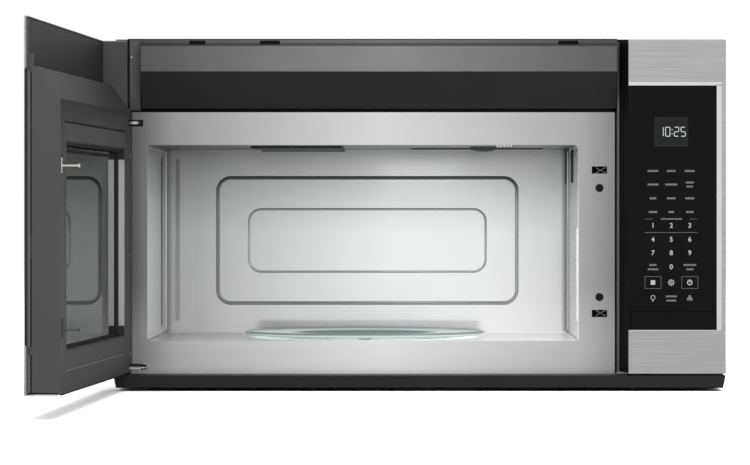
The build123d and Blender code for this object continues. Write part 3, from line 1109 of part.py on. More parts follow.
def door_trim():
    """Stainless skin: top band, hinge-side strip and bottom band, with returned edges."""
    u = (-HINGE_INSET, DOOR_EDGE)
    v = (DOOR_OUTER, TRIM_BACK)
    z = (DOOR_BOTTOM, DOOR_TOP)
    trim = block(u, v, z)
    trim -= block((GLASS_U[0], DOOR_EDGE + 1), grow(v, 1), (GLASS_BOTTOM, GLASS_TOP))
    trim += block(u, (DOOR_OUTER, SKIN_BACK), (DOOR_BOTTOM, FRAME_BOTTOM))
    trim += block(u, (DOOR_OUTER, RECESS_FACE), (FRAME_TOP, DOOR_TOP))
    trim += block((u[0], u[0] + TRIM_SHEET), (DOOR_OUTER, SKIN_BACK), z)
    return trim + block((-DOOR_END, 4), (RECESS_FACE, 1.4), (FRAME_TOP, DOOR_TOP))


def door_glass():
    return block(grow(GLASS_U, -0.3), (DOOR_OUTER + 0.2, FRAME_FRONT), (GLASS_BOTTOM + 0.4, GLASS_TOP - 0.4))


def choke_panel():
    """Door's inner metal panel: a flange round the window and one round the outside."""
    u = (DOOR_COLUMN + CHOKE_MARGIN[0], LATCH_U - CHOKE_MARGIN[1])
    z = (CAVITY_Z[0] - CHOKE_MARGIN[2], CAVITY_Z[1] + CHOKE_MARGIN[3])
    panel = block(u, CHOKE_V, z)
    panel -= block(grow(WINDOW_U, -WINDOW_LIP), grow(CHOKE_V, 1), grow(WINDOW_Z, -WINDOW_LIP))
    tall = (CHOKE_V[1], DOOR_INNER - CHOKE_LIP_DROP)
    panel += block(grow(WINDOW_U, FLANGE_SHEET), tall, grow(WINDOW_Z, FLANGE_SHEET))
    panel -= block(WINDOW_U, (CHOKE_V[1], DOOR_INNER), WINDOW_Z)
    rim = (CHOKE_V[1], DOOR_INNER - DOOR_WALL)
    return panel + (block(u, rim, z) - block(grow(u, -FLANGE_SHEET), grow(rim, 1), grow(z, -FLANGE_SHEET)))


def window_screen():
    v = (CHOKE_V[0] - SCREEN_SHEET, CHOKE_V[0])
    return block(grow(WINDOW_U, SCREEN_LAP), v, grow(WINDOW_Z, SCREEN_LAP))


def window_film():
    return block(grow(WINDOW_U, -0.3), (CHOKE_V[1], WINDOW_FACE), grow(WINDOW_Z, -0.3))


def choke_cover():
    """Snap-in cover that hides the choke, with a skirt down to the metal panel."""
    inside_u = grow(WINDOW_U, FLANGE_SHEET + SKIRT_GAP)
    inside_z = grow(WINDOW_Z, FLANGE_SHEET + SKIRT_GAP)
    v = (DOOR_INNER - COVER_THICKNESS, DOOR_INNER)
    cover = rounded_y(COVER_U, v, COVER_Z, COVER_CORNER)
    skirt_v = (CHOKE_V[1], v[0])
    skirt = rounded_frame_y(grow(COVER_U, -SKIRT), skirt_v, grow(COVER_Z, -SKIRT), COVER_CORNER - SKIRT, SKIRT)
    return cover + skirt - block(inside_u, grow(v, 20), inside_z)


def latch_key():
    """Sliding bar with a hook at each end."""
    key = block(about(LATCH_U, LATCH_BAR[0] / 2), LATCH_V, LATCH_Z)
    for level in HOOK_LEVELS:
        u = about(LATCH_U, HOOK_THICKNESS / 2)
        tip = DOOR_INNER + HOOK_REACH
        z = about(level, HOOK_HEIGHT / 2)
        hook = block(u, (LATCH_V[1], tip), z)
        notch = (DOOR_INNER + HOOK_NOTCH[0], tip - HOOK_NOTCH[1])
        hook -= block(grow(u, 1), notch, (z[0] - 1, z[0] + HOOK_NOTCH[2]))
        nose = chamfer(hook.edges().filter_by(Axis.X).group_by(Axis.Y)[-1].group_by(Axis.Z)[-1], HOOK_NOSE)
        key += nose
    return key


def latch_spring():
    return rod_z(SPRING_RADIUS, LATCH_U, sum(LATCH_V) / 2, SPRING_Z)


def hinge_bushes():
    bore = HINGE_PIN_RADIUS + HINGE_RUNNING_GAP
    return group([ring_z(BUSH_RADIUS, bore, 0, 0, span) for lug, span in hinge_levels()])


def door_screws():
    """Three screws through the frame's hinge column."""
    screws = []
    for level in SCREW_LEVELS:
        head = rod_y(2 * SCREW_RADIUS, SCREW_U, (DOOR_INNER, DOOR_INNER + SCREW_HEAD), level)
        shank = rod_y(SCREW_RADIUS, SCREW_U, (DOOR_INNER - DOOR_WALL, DOOR_INNER), level)
        screws.append(head + shank)
    return group(screws)


# ---------------------------------------------------------------- assembly
CABINET = (outer_case, back_plate, base_pan, chassis_floor, front_plate, cavity_shell,
           vent_housing, vent_end_cap, charcoal_filter, grease_filters, cooktop_lamp_lens,
           cooktop_lamps, magnetron, waveguide, waveguide_cover, transformer, capacitor, diode,
           cooling_fan_shroud, cooling_fan_motor, cooling_fan_blade, power_board,
           blower_housings, blower_motor, blower_shaft, blower_wheels, exhaust_duct,
           damper_frame, damper_flap, turntable_motor, turntable_coupler, glass_tray,
           roller_ring, latch_board, interlock_switches, door_bumpers, cavity_lamp,
           thermal_cutouts, cord_grommet, hinge_arms, panel_trim, panel_frame, touch_glass,
           panel_insert, finger_channel, control_board)
DOOR = (door_frame, door_trim, door_glass, choke_panel, window_screen, window_film,
        choke_cover, latch_key, latch_spring, hinge_bushes, door_screws)


def write(name, solid):
    export_step(solid, os.path.join("parts", name + ".step"))


os.makedirs("parts", exist_ok=True)
for maker in CABINET:
    write(maker.__name__, maker())
for wheel in range(ROLLER_COUNT):
    write(f"roller_wheel_{wheel + 1}", roller_wheel(wheel))
open_door = Pos(PIVOT_X, PIVOT_Y, 0) * Rot(0, 0, -DOOR_OPEN_ANGLE)
for maker in DOOR:
    write(maker.__name__, open_door * maker())
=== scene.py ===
# %% [markdown]
# # An over the range microwave with its door open
# The real object is a steel cabinet that hangs under a kitchen cupboard. It has an oven cavity, a
# vent along its top, a black glass control panel and a door on the left that stands open. The
# engineering model gives every part its true size. This notebook gives each part its surface, and
# models what pressing, moulding and printing add to it.

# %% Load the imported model
import math
import bmesh
import bpy
from mathutils import Matrix, Vector


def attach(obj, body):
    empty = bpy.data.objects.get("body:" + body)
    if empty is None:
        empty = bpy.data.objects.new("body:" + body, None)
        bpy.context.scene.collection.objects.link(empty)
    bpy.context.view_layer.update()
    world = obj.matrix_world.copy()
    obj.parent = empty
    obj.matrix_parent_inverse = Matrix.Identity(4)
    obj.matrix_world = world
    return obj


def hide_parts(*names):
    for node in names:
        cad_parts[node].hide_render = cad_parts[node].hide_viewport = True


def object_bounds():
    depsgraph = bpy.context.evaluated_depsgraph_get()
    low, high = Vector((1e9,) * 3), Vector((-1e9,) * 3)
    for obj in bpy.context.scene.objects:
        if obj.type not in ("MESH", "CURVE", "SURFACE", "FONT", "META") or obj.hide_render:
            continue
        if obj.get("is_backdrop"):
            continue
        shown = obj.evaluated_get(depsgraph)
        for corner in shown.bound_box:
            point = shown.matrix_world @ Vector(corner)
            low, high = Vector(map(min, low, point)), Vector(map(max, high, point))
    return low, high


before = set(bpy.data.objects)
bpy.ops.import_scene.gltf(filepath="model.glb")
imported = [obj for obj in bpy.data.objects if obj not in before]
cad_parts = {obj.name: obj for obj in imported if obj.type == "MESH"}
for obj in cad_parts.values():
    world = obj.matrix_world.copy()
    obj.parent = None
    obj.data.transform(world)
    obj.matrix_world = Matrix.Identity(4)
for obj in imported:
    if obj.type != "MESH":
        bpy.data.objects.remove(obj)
CAD_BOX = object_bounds()
MM = 0.001
UPRIGHT = (math.radians(90), 0, 0)  # turns what faces up to face the front
print("CAD box in mm:", [tuple(round(v / MM, 1) for v in corner) for corner in CAD_BOX])

# %% [markdown]
# # Numbers that carry through a finish
# A finish is a net of small nodes. Wiring sums by hand hides the idea behind them, so one small
# class holds a socket and turns ordinary arithmetic into Math nodes. A second class holds a
# whole finish: its shader, one method that adds any node, and the few patterns that return in
# nearly every surface, such as noise that is stretched along a grain.

# %% A number in a finish
class Value:
    """A socket on its way through a finish. Sums with it become Math nodes."""

    def __init__(self, finish, socket):
        self.finish = finish
        self.socket = socket

    def maths(self, operation, *numbers):
        return self.finish.node("ShaderNodeMath", {"operation": operation}, dict(enumerate(numbers)))

    def __add__(self, other):
        return self.maths("ADD", self, other)

    def __radd__(self, other):
        return self.maths("ADD", other, self)

    def __sub__(self, other):
        return self.maths("SUBTRACT", self, other)

    def __rsub__(self, other):
        return self.maths("SUBTRACT", other, self)

    def __mul__(self, other):
        return self.maths("MULTIPLY", self, other)

    def __rmul__(self, other):
        return self.maths("MULTIPLY", other, self)


# %% A whole finish
def tone(level):
    """A colour for the shader, from a grey of 0 to 255 or three such values, as a screen shows them."""
    parts = [code / 255 for code in (level if isinstance(level, tuple) else (level,) * 3)]
    return tuple(p / 12.92 if p <= 0.04045 else ((p + 0.055) / 1.055) ** 2.4 for p in parts) + (1.0,)


class Finish:
    """One material, with the helpers that its patterns use."""

    def __init__(self, name, constants=None):
        self.material = bpy.data.materials.new(name)
        self.material.use_nodes = True
        self.nodes = self.material.node_tree.nodes
        self.links = self.material.node_tree.links
        self.shader = self.nodes["Principled BSDF"]
        for socket, value in (constants or {}).items():
            self.shader.inputs[socket].default_value = value

    def node(self, kind, settings=None, inputs=None, output=0):
        """Adds any node: its settings first, then the values or links of its sockets."""
        made = self.nodes.new(kind)
        for key, value in (settings or {}).items():
            if key == "stops":
                for _ in value[2:]:
                    made.color_ramp.elements.new(0.5)
                for stop, (place, colour) in zip(made.color_ramp.elements, value):
                    stop.position = place
                    stop.color = colour
            else:
                setattr(made, key, value)
        for key, value in (inputs or {}).items():
            if isinstance(value, Value):
                self.links.new(value.socket, made.inputs[key])
            else:
                made.inputs[key].default_value = value
        return Value(self, made.outputs[output])

    def here(self, stretch=(1, 1, 1), turn=(0, 0, 0)):
        """A point's place on the object, in metres, stretched for a pattern."""
        point = self.node("ShaderNodeTexCoord", output="Object")
        return self.node("ShaderNodeMapping", inputs={"Vector": point, "Scale": stretch, "Rotation": turn})

    def along(self, axis):
        """A point's X, Y or Z in metres."""
        return self.node("ShaderNodeSeparateXYZ", inputs={0: self.here()}, output=axis)

    def reach(self, axis, low, high, to_low=0.0, to_high=1.0):
        """How far a point lies on the way between two places on an axis."""
        return self.fit(self.along(axis), low, high, to_low, to_high)

    def away(self, axis, middle):
        """A point's distance from a place on an axis."""
        off = self.along(axis) - middle
        return off.maths("ABSOLUTE", off)

    def noise(self, scale, stretch=(1, 1, 1), detail=2.0, rough=0.5):
        """Cloudy values around 0.5. A large stretch along an axis makes it fine across that axis."""
        return self.node("ShaderNodeTexNoise", inputs={
            "Vector": self.here(stretch), "Scale": scale, "Detail": detail, "Roughness": rough})

    def ramp(self, value, *stops):
        """A colour that follows a value from 0 to 1."""
        return self.node("ShaderNodeValToRGB", {"stops": stops}, {0: value})

    def greys(self, value, *stops):
        """A grey that follows a value, with the 0 to 255 level of each stop."""
        return self.ramp(value, *((place, tone(level)) for place, level in stops))

    def blend(self, amount, first, second):
        """A colour between two others."""
        return self.node("ShaderNodeMix", {"data_type": "RGBA"}, {0: amount, 6: first, 7: second}, 2)

    def fit(self, value, low, high, to_low=0.0, to_high=1.0):
        """Stretches the part of a value that matters over a new range."""
        return self.node("ShaderNodeMapRange", {"clamp": True}, {
            0: value, 1: low, 2: high, 3: to_low, 4: to_high})

    def wear(self, colour=None, roughness=None, height=None, depth=None, strength=1.0, **others):
        """Joins the patterns to the shader. Others are sockets by name, with _ for a space."""
        for socket, value in {"Base_Color": colour, "Roughness": roughness, **others}.items():
            if value is not None:
                self.links.new(value.socket, self.shader.inputs[socket.replace("_", " ")])
        if height is not None:
            bump = self.node("ShaderNodeBump", inputs={
                "Strength": strength, "Distance": depth, "Height": height})
            self.links.new(bump.socket, self.shader.inputs["Normal"])
        return self

    def follow(self, pattern, dark, light, rough, at=(0.3, 0.7), rough_at=(0.3, 0.7), depth=None,
               strength=1.0):
        """Two tones, a roughness and perhaps a relief that all follow one pattern."""
        return self.wear(colour=self.ramp(pattern, (at[0], tone(dark)), (at[1], tone(light))),
                         roughness=self.fit(pattern, *rough_at, *rough),
                         height=pattern if depth else None, depth=depth, strength=strength)

    def covered(self, pattern, under, over, share, rough, at=(0.3, 0.7), **others):
        """A colour under a thin uneven cover of another, with a roughness that follows the cover."""
        return self.wear(colour=self.blend(self.fit(pattern, *at, 0.0, share), under, tone(over)),
                         roughness=self.fit(pattern, 0.3, 0.7, *rough), **others)

    def tinted(self, first, second, amount=1.0):
        """One colour multiplied by another."""
        return self.node("ShaderNodeMix", {"data_type": "RGBA", "blend_type": "MULTIPLY"},
                         {0: amount, 6: first, 7: second}, 2)


def even_finish(name, constants, scale, stretch, detail, dark, light, rough, depth=None, strength=0.3):
    """A finish whose tone, roughness and fine relief all follow one noise."""
    made = Finish(name, constants)
    return made.follow(made.noise(scale, stretch, detail), dark, light, rough,
                       depth=depth, strength=strength)


EVEN = (1, 1, 1)  # stretch of a noise without a grain
METAL = {"Metallic": 1.0}
GLOSS = "Specular IOR Level"
print("finish helpers ready")

# %% [markdown]
# # The room: floor, background, lamps and camera
# The photograph is a product picture: white all round, soft light from above and in front, and
# only a faint shadow on the floor. A white world that is strong for the camera and for
# reflections, and weaker as a light, gives that without burning out the steel. One large lamp
# hangs above, one stands in front, one lights the back, and a small one is the oven lamp. A white
# card close to the camera is what the bare steel mirrors, brightest in the middle.

# %% World and floor
LIGHT_STRENGTH = 0.42  # the white world as a light, against 1 where it is seen
FLOOR_Z = -0.0024  # metres, just below the base
FLOOR_TILT = 0.52  # degrees, downward to the front
FLOOR_SHOWN = (2.6, 2.6, 2.6, 1)  # bright enough for the camera that only the shadow stays grey

world = bpy.data.worlds.new("white_room")
bpy.context.scene.world = world
world.use_nodes = True
sky = world.node_tree
rays = sky.nodes.new("ShaderNodeLightPath")
shown = rays.outputs["Is Camera Ray"]
for kind in ("Is Glossy Ray", "Is Transmission Ray"):
    either = sky.nodes.new("ShaderNodeMath")
    either.operation = "MAXIMUM"
    sky.links.new(shown, either.inputs[0])
    sky.links.new(rays.outputs[kind], either.inputs[1])
    shown = either.outputs[0]
strength = sky.nodes.new("ShaderNodeMapRange")
strength.inputs["To Min"].default_value = LIGHT_STRENGTH
strength.inputs["To Max"].default_value = 1.0
sky.links.new(shown, strength.inputs["Value"])
sky.links.new(strength.outputs[0], sky.nodes["Background"].inputs["Strength"])
sky.nodes["Background"].inputs["Color"].default_value = (1, 1, 1, 1)

bpy.ops.mesh.primitive_plane_add(size=12, location=(0, 0, FLOOR_Z),
                                 rotation=(math.radians(FLOOR_TILT), 0, 0))
floor = bpy.context.object
floor.name = "studio_floor"
paper = Finish("studio_paper", {"Base Color": tone(252), "Roughness": 1.0, GLOSS: 0.0})
seen_now = paper.node("ShaderNodeLightPath", output="Is Camera Ray")
paper.wear(colour=paper.blend(seen_now, tone(238), FLOOR_SHOWN))
floor.data.materials.append(paper.material)
floor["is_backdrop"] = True
print("floor and world ready")

# %% Lamps and camera
def lamp(name, place, aim, size, power):
    """A soft square lamp that looks at a point."""
    bpy.ops.object.light_add(type="AREA", location=place)
    light = bpy.context.object
    light.name = name
    light.data.shape = "SQUARE"
    light.data.size = size
    light.data.energy = power
    light.rotation_euler = (Vector(aim) - Vector(place)).to_track_quat("-Z", "Y").to_euler()
    return light


OBJECT_MIDDLE = (0, 0, 0.2)
for name, place, size, power in (
        ("overhead_lamp", (0.2, -1.6, 3.0), 2.4, 46), ("front_lamp", (1.2, -3.6, 1.4), 1.8, 24),
        ("rear_lamp", (-0.5, 3.0, 2.4), 2.4, 30)):
    light = lamp(name, place, OBJECT_MIDDLE, size, power)
    light.visible_camera = False
    light.visible_glossy = False
card = lamp("camera_card", (-0.04, -5.1, 0.27), (-0.04, 0.0, 0.27), 0.72, 2.6)
card.data.shape = "RECTANGLE"
card.data.size_y = 0.54
card.visible_camera = False
oven = lamp("oven_lamp", (0.0, -0.02, 0.292), (0.0, -0.02, 0.0), 0.12, 0.12)
oven.visible_camera = False

bpy.ops.object.camera_add(location=(0, -4.8825, 0.217), rotation=UPRIGHT)
camera = bpy.context.object
camera.data.sensor_width = 36
camera.data.lens = 181.06
camera.data.shift_x = -0.0593
camera.data.shift_y = -0.026
bpy.context.scene.camera = camera
bpy.context.scene.view_settings.view_transform = "Standard"
print("camera at", tuple(camera.location))

# %% [markdown]
# # Tools of the workshop
# Every piece starts from a primitive or from a merged copy of the engineering part. These helpers
# do by name what a hand would do in the viewport: pick up a piece, choose faces by their place and
# direction, round its edges, and give it a finish and a body to ride on.

# %% Picking and shaping
def hold(piece):
    """Leaves edit mode, lets go of everything and picks up one piece."""
    if bpy.context.object and bpy.context.object.mode != "OBJECT":
        bpy.ops.object.mode_set(mode="OBJECT")
    bpy.ops.object.select_all(action="DESELECT")
    piece.select_set(True)
    bpy.context.view_layer.objects.active = piece
    return piece


def choose(piece, test):
    """Enters edit mode and selects the faces whose middle and direction pass a test."""
    hold(piece)
    bpy.ops.object.mode_set(mode="EDIT")
    bpy.ops.mesh.select_mode(type="FACE")
    bpy.ops.mesh.select_all(action="DESELECT")
    shape = bmesh.from_edit_mesh(piece.data)
    chosen = [face for face in shape.faces if test(face.calc_center_median() / MM, face.normal)]
    for face in chosen:
        face.select_set(True)
    bmesh.update_edit_mesh(piece.data)
    return len(chosen)


def modify(piece, kind, **settings):
    """Adds a modifier, sets it and applies it."""
    hold(piece)
    bpy.ops.object.modifier_add(type=kind)
    modifier = piece.modifiers[-1]
    for key, value in settings.items():
        setattr(modifier, key, value)
    bpy.ops.object.modifier_apply(modifier=modifier.name)


def rounded(piece, radius):
    """Rounds a piece's sharp edges."""
    modify(piece, "BEVEL", width=radius * MM, segments=2, limit_method="ANGLE",
           angle_limit=math.radians(30), use_clamp_overlap=True, miter_outer="MITER_ARC")


def smooth(piece, angle=35):
    """Shades soft edges as round, and keeps large faces flat beside them."""
    hold(piece)
    bpy.ops.object.shade_smooth_by_angle(angle=math.radians(angle))
    modify(piece, "WEIGHTED_NORMAL", keep_sharp=True)


def merged(node, name, split=False):
    """A copy of an engineering part with its loose triangles joined into whole faces. Faces with
    many corners round a hole are split again on request, where they would fold over the hole."""
    piece = bpy.data.objects.new(name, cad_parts[node].data.copy())
    bpy.context.collection.objects.link(piece)
    hold(piece)
    bpy.ops.mesh.customdata_custom_splitnormals_clear()
    bpy.ops.object.mode_set(mode="EDIT")
    bpy.ops.mesh.select_mode(type="FACE")
    bpy.ops.mesh.select_all(action="SELECT")
    bpy.ops.mesh.remove_doubles(threshold=0.02 * MM)
    bpy.ops.mesh.dissolve_limited(angle_limit=math.radians(1.5))
    if split:
        bpy.ops.mesh.select_all(action="DESELECT")
        bpy.ops.mesh.select_face_by_sides(number=8, type="GREATER")
        bpy.ops.mesh.quads_convert_to_tris(quad_method="BEAUTY", ngon_method="BEAUTY")
    bpy.ops.object.mode_set(mode="OBJECT")
    piece.data.materials.clear()
    return piece


def settle(piece, name):
    """Moves a piece's place into its mesh, so that its object sits at the origin."""
    hold(piece)
    bpy.ops.object.transform_apply(location=True, rotation=True, scale=True)
    piece.name = name
    piece.data.name = name
    return piece


def fit_out(piece, slot, finish=None, body="cabinet", replaced=None):
    """Puts a piece on its body and gives it a finish, which is the slot's own unless one is named."""
    if not piece.data.materials:
        piece.data.materials.append((finish or FINISHES[slot]).material)
    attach(piece, body)
    if replaced:
        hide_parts(replaced)
    print(piece.name, "on", body, "faces", len(piece.data.polygons))
    return piece


def soften(node, radius, slot, finish=None, body="cabinet"):
    """A copy of an engineering part with rounded edges, in its place."""
    piece = merged(node, node + "_formed", node == "vent_housing")
    rounded(piece, radius)
    smooth(piece)
    return fit_out(piece, slot, finish, body, node)


# %% Making simple solids
def block(name, low, high):
    """A box between two corners in mm."""
    middle = [(a + b) / 2 * MM for a, b in zip(low, high)]
    size = [(b - a) * MM for a, b in zip(low, high)]
    bpy.ops.mesh.primitive_cube_add(size=1, location=middle, scale=size)
    return settle(bpy.context.object, name)


def joined(name, parts):
    """One piece from several."""
    hold(parts[0])
    for part in parts:
        part.select_set(True)
    bpy.ops.object.join()
    return settle(bpy.context.object, name)


def spun(name, profile, centre, axis="Z", steps=64):
    """A turned shape: a line of (radius, height) points in mm spun round an axis through centre."""
    bpy.ops.mesh.primitive_circle_add(vertices=3, radius=MM)
    piece = bpy.context.object
    hold(piece)
    bpy.ops.object.mode_set(mode="EDIT")
    bpy.ops.mesh.select_all(action="SELECT")
    bpy.ops.mesh.delete(type="VERT")
    shape = bmesh.from_edit_mesh(piece.data)
    points = [shape.verts.new((r * MM, 0, h * MM)) for r, h in profile]
    for first, second in zip(points, points[1:]):
        shape.edges.new((first, second))
    bmesh.update_edit_mesh(piece.data)
    bpy.ops.mesh.select_all(action="SELECT")
    bpy.ops.mesh.spin(steps=steps, angle=math.tau, center=(0, 0, 0), axis=(0, 0, 1))
    bpy.ops.mesh.select_all(action="SELECT")
    bpy.ops.mesh.remove_doubles(threshold=0.01 * MM)
    bpy.ops.mesh.normals_make_consistent(inside=False)
    bpy.ops.object.mode_set(mode="OBJECT")
    if axis == "Y":
        piece.rotation_euler = UPRIGHT
    piece.location = [c * MM for c in centre]
    return settle(piece, name)


# The closed door's own measures are u from the hinge to the opening edge and v towards the cabinet.
# This takes a point in them to the open door's place.
HINGE_X, HINGE_Y = -0.366, -0.1725
COS_OPEN, SIN_OPEN = -0.05234, 0.99863  # of 93 degrees
DOOR_TURN = Matrix(((COS_OPEN, SIN_OPEN, 0, HINGE_X), (-SIN_OPEN, COS_OPEN, 0, HINGE_Y),
                    (0, 0, 1, 0), (0, 0, 0, 1)))


def barred(name, slot, finish, radius, *boxes, body="cabinet"):
    """Rounded bars between pairs of corners in mm, joined to one piece. Without a finish they take
    the slot's own. Those of the door and its latch are swung open."""
    piece = joined(name, [block("bar", low, high) for low, high in boxes])
    rounded(piece, radius)
    if body != "cabinet":
        piece.data.transform(DOOR_TURN)
    return fit_out(piece, slot, finish, body)


print("workshop tools ready")

# %% [markdown]
# # Sheet metals
# Brushed stainless steel carries fine scratches along one direction, so its noise is stretched
# along the grain and thin across it. The oven's inside and the front plate have a finer satin
# grain. Zinc plated sheet shows flat crystals, which a Voronoi pattern gives. The front plate's
# grey is a painted reflection: lighter in the middle of its length and darker at each end, where
# a bent sheet would mirror a different part of the room, and lighter on its lower part.

# %% Stainless trims
stainless = Finish("brushed_stainless", METAL)
scratch = stainless.noise(1.0, (9, 9, 420), 3.0, 0.6)
fine = stainless.noise(1.0, (30, 30, 2600), 2.0, 0.7)
sheen = scratch * 0.6 + fine * 0.4
stainless.wear(
    colour=stainless.greys(stainless.fit(sheen, 0.36, 0.64), (0.0, 166), (0.5, 176), (1.0, 186)),
    roughness=stainless.fit(fine, 0.3, 0.7, 0.3, 0.44),
    height=sheen, depth=0.00012, strength=0.12)
polished = even_finish("polished_edge", METAL, 1.0, (200, 200, 900), 2.0, 204, 222, (0.22, 0.34),
                       0.00003, 0.2)
strip_steel = even_finish("strip_steel", METAL, 20.0, EVEN, 2.0, 208, 216, (0.3, 0.34))
print("trims ready")

# %% Front plate and oven cavity
# Places in a finish are in metres.
SATIN = (1500, 1500, 30)  # stretch of a grain along the height
PLATE_X = (-0.363, 0.26)
CAVITY_X = (-0.341, 0.2)
CAVITY_Z = (0.05, 0.305)
TRAY_X, TRAY_Y = -0.0706, 0.0105  # the turntable's axis, and the oven's middle

plate = Finish("satin_plate", METAL)
across = plate.reach("X", *PLATE_X)
# Painted reflection: the plate's grey by its place along X, for its upper and its lower part.
upper = plate.greys(across, (0.018, 112), (0.09, 152), (0.51, 188), (0.9, 158), (1.0, 116))
lower = plate.greys(across, (0.018, 146), (0.09, 182), (0.51, 213), (0.9, 180), (1.0, 136))
grain = plate.noise(1.0, SATIN, 2.0, 0.6)
painted_plate_reflection = plate.blend(plate.reach("Z", 0.06, 0.13), lower, upper)
plate.covered(grain, painted_plate_reflection, 110, 0.02, (0.25, 0.262), (0.35, 0.65))

# Painted light and shade: the cavity's colour is set by place, and parts of it glow.
cavity = Finish("satin_cavity", {"Metallic": 1.0, "Emission Strength": 0.4})
from_left = cavity.reach("X", *CAVITY_X)
from_floor = cavity.reach("Z", *CAVITY_Z)
# Painted reflection and shade across the oven: dark lines at both back corners, darker towards the left,
# lightest right of the middle.
across = cavity.greys(from_left, (0.0, 120), (0.008, 128), (0.018, 168), (0.15, 190), (0.56, 221),
                      (0.8, 221), (0.982, 208), (0.991, 130), (1.0, 140))
# Painted shade: darker towards the ceiling.
painted_ceiling_shade = cavity.ramp(from_floor, (0.14, (1, 1, 1, 1)), (0.54, (0.9, 0.92, 0.91, 1)),
                   (1.0, (0.39, 0.395, 0.39, 1)))
grain = cavity.noise(1.0, SATIN, 2.0, 0.6)
# Painted reflection of the tray: a grey band on the back wall just above it.
painted_tray_reflection = (cavity.reach("Z", 0.0748, 0.0708)
              * cavity.fit(cavity.away("X", -0.0685), 0.153, 0.143)
              * cavity.reach("X", -0.2, 0.05, 0.48, 0.34))
back_wall = cavity.blend(painted_tray_reflection, cavity.tinted(across, painted_ceiling_shade), tone(120))
# Painted shade: the side walls darker towards the ceiling, the floor darker at the left.
painted_side_wall_shade = cavity.greys(from_floor, (0.7, 255), (1.0, 200))
painted_floor_shade = cavity.greys(from_left, (0.02, 206), (0.28, 255))
beside = cavity.fit(cavity.away("X", TRAY_X), 0.2689, 0.2697)
above_floor = cavity.reach("Z", 0.0572, 0.058)
# Painted glow: a strip at the mouth's right side and the floor give off light, though they are no lamp.
painted_glow_at_mouth = cavity.reach("X", 0.19, 0.195) * cavity.reach("Y", -0.12, -0.15)
painted_floor_glow = cavity.greys(from_left, (0.35, 66), (1.0, 192))
cavity.wear(
    colour=cavity.blend(above_floor, painted_floor_shade, cavity.blend(beside, back_wall, painted_side_wall_shade)),
    roughness=cavity.fit(grain, 0.3, 0.7, 0.25, 0.258),
    Metallic=1.0 - cavity.fit(beside + (1.0 - above_floor), 0.0, 1.0, 0.0, 0.55),
    Emission_Color=cavity.blend(
        painted_glow_at_mouth, cavity.blend(above_floor, painted_floor_glow, (0, 0, 0, 1)), tone(200)))


def bead_finish(name, top, left, right, foot, low, high):
    """A pressed bead with a painted reflection: its grey is set apart on its top, its foot and each side."""
    made = Finish(name, {"Metallic": 0.85})
    side = made.blend(made.reach("X", -0.22, 0.08), tone(left), tone(right))
    painted_foot_reflection = made.blend(made.reach("Z", low, low + 0.02), tone(foot), side)
    ridge = made.blend(made.reach("Z", high - 0.035, high), painted_foot_reflection, tone(top))
    return made.covered(made.noise(500.0), ridge, 60, 0.1, (0.3, 0.4), (0.2, 0.8))


# Greys of each bead's painted reflection: top, left, right and foot.
outer_bead_steel = bead_finish("outer_bead_steel", 98, 157, 220, 184, 0.094, 0.262)
inner_bead_steel = bead_finish("inner_bead_steel", 195, 240, 238, 223, 0.137, 0.221)
print("plate and oven ready")

# %% Plated, bare and mesh metals
zinc = Finish("zinc_plated", METAL)
crystal = zinc.node("ShaderNodeTexVoronoi", {}, {"Vector": zinc.here(), "Scale": 90.0}, "Distance")
zinc.follow(crystal, (150, 152, 155), (186, 188, 190), (0.28, 0.5), (0.0, 0.6), (0.0, 0.7), 0.00003, 0.3)
choke = even_finish("choke_coat", {"Metallic": 0.55}, 900.0, EVEN, 3.0, 52, 66, (0.4, 0.55), 0.00003)
bare = even_finish("turned_steel", METAL, 1.0, (700, 700, 700), 2.0, 176, 206, (0.22, 0.4), 0.00002)
tube = even_finish("pressed_steel", METAL, 40.0, EVEN, 4.0, (140, 142, 144), (172, 173, 174), (0.3, 0.5),
                   0.00005, 0.2)
flap = even_finish("galvanised_flap", METAL, 1.0, (20, 500, 500), 3.0, 146, 178, (0.35, 0.5), 0.00003)

# Painted highlights: bright bands across the hinge lugs with near black edges, where polished steel would
# catch the light.
lug = Finish("hinge_lug_steel", {"Metallic": 0.3})
painted_lug_highlight = lug.greys(lug.reach("X", -0.364, -0.348),
                      (0.1, 24), (0.32, 190), (0.55, 255), (0.7, 250), (0.9, 26))
painted_highlight_bands = lug.greys(lug.reach("Z", 0.0, 0.35),
                        (0.0695, 240), (0.0708, 12), (0.934, 12), (0.941, 255), (0.9475, 12))
lug.wear(colour=lug.tinted(painted_highlight_bands, painted_lug_highlight, lug.reach("Z", 0.1, 0.2)),
         roughness=lug.fit(lug.noise(300.0), 0.3, 0.7, 0.3, 0.4))

copper = Finish("copper_and_core", {"Metallic": 0.8})
wires = copper.node("ShaderNodeTexWave", {"bands_direction": "Z"}, {
    "Vector": copper.here(), "Scale": 260.0, "Distortion": 0.3})
copper.follow(wires, (92, 48, 26), (186, 110, 68), (0.35, 0.55), (0.0, 0.7), (0.0, 1.0), 0.0002, 0.6)

knit = Finish("filter_aluminium", METAL)
diagonal = knit.here(turn=(0, 0, math.radians(45)))
weaves = [knit.node("ShaderNodeTexWave", {"bands_direction": axis}, {
    "Vector": diagonal, "Scale": 90.0, "Distortion": 1.2, "Detail": 2.0}) for axis in "XY"]
knit.follow(weaves[0].maths("MAXIMUM", *weaves), 62, 205, (0.6, 0.3), (0.45, 0.9), (0.0, 1.0), 0.0008, 0.8)

screen = Finish("punched_screen", {"Metallic": 0.8})
dots = screen.node("ShaderNodeTexVoronoi", {}, {
    "Vector": screen.here(), "Scale": 700.0, "Randomness": 0.0}, "Distance")
screen.follow(dots, 14, 40, (0.7, 0.35), (0.3, 0.42), (0.2, 0.6), 0.0002, 0.5)
print("metals ready")

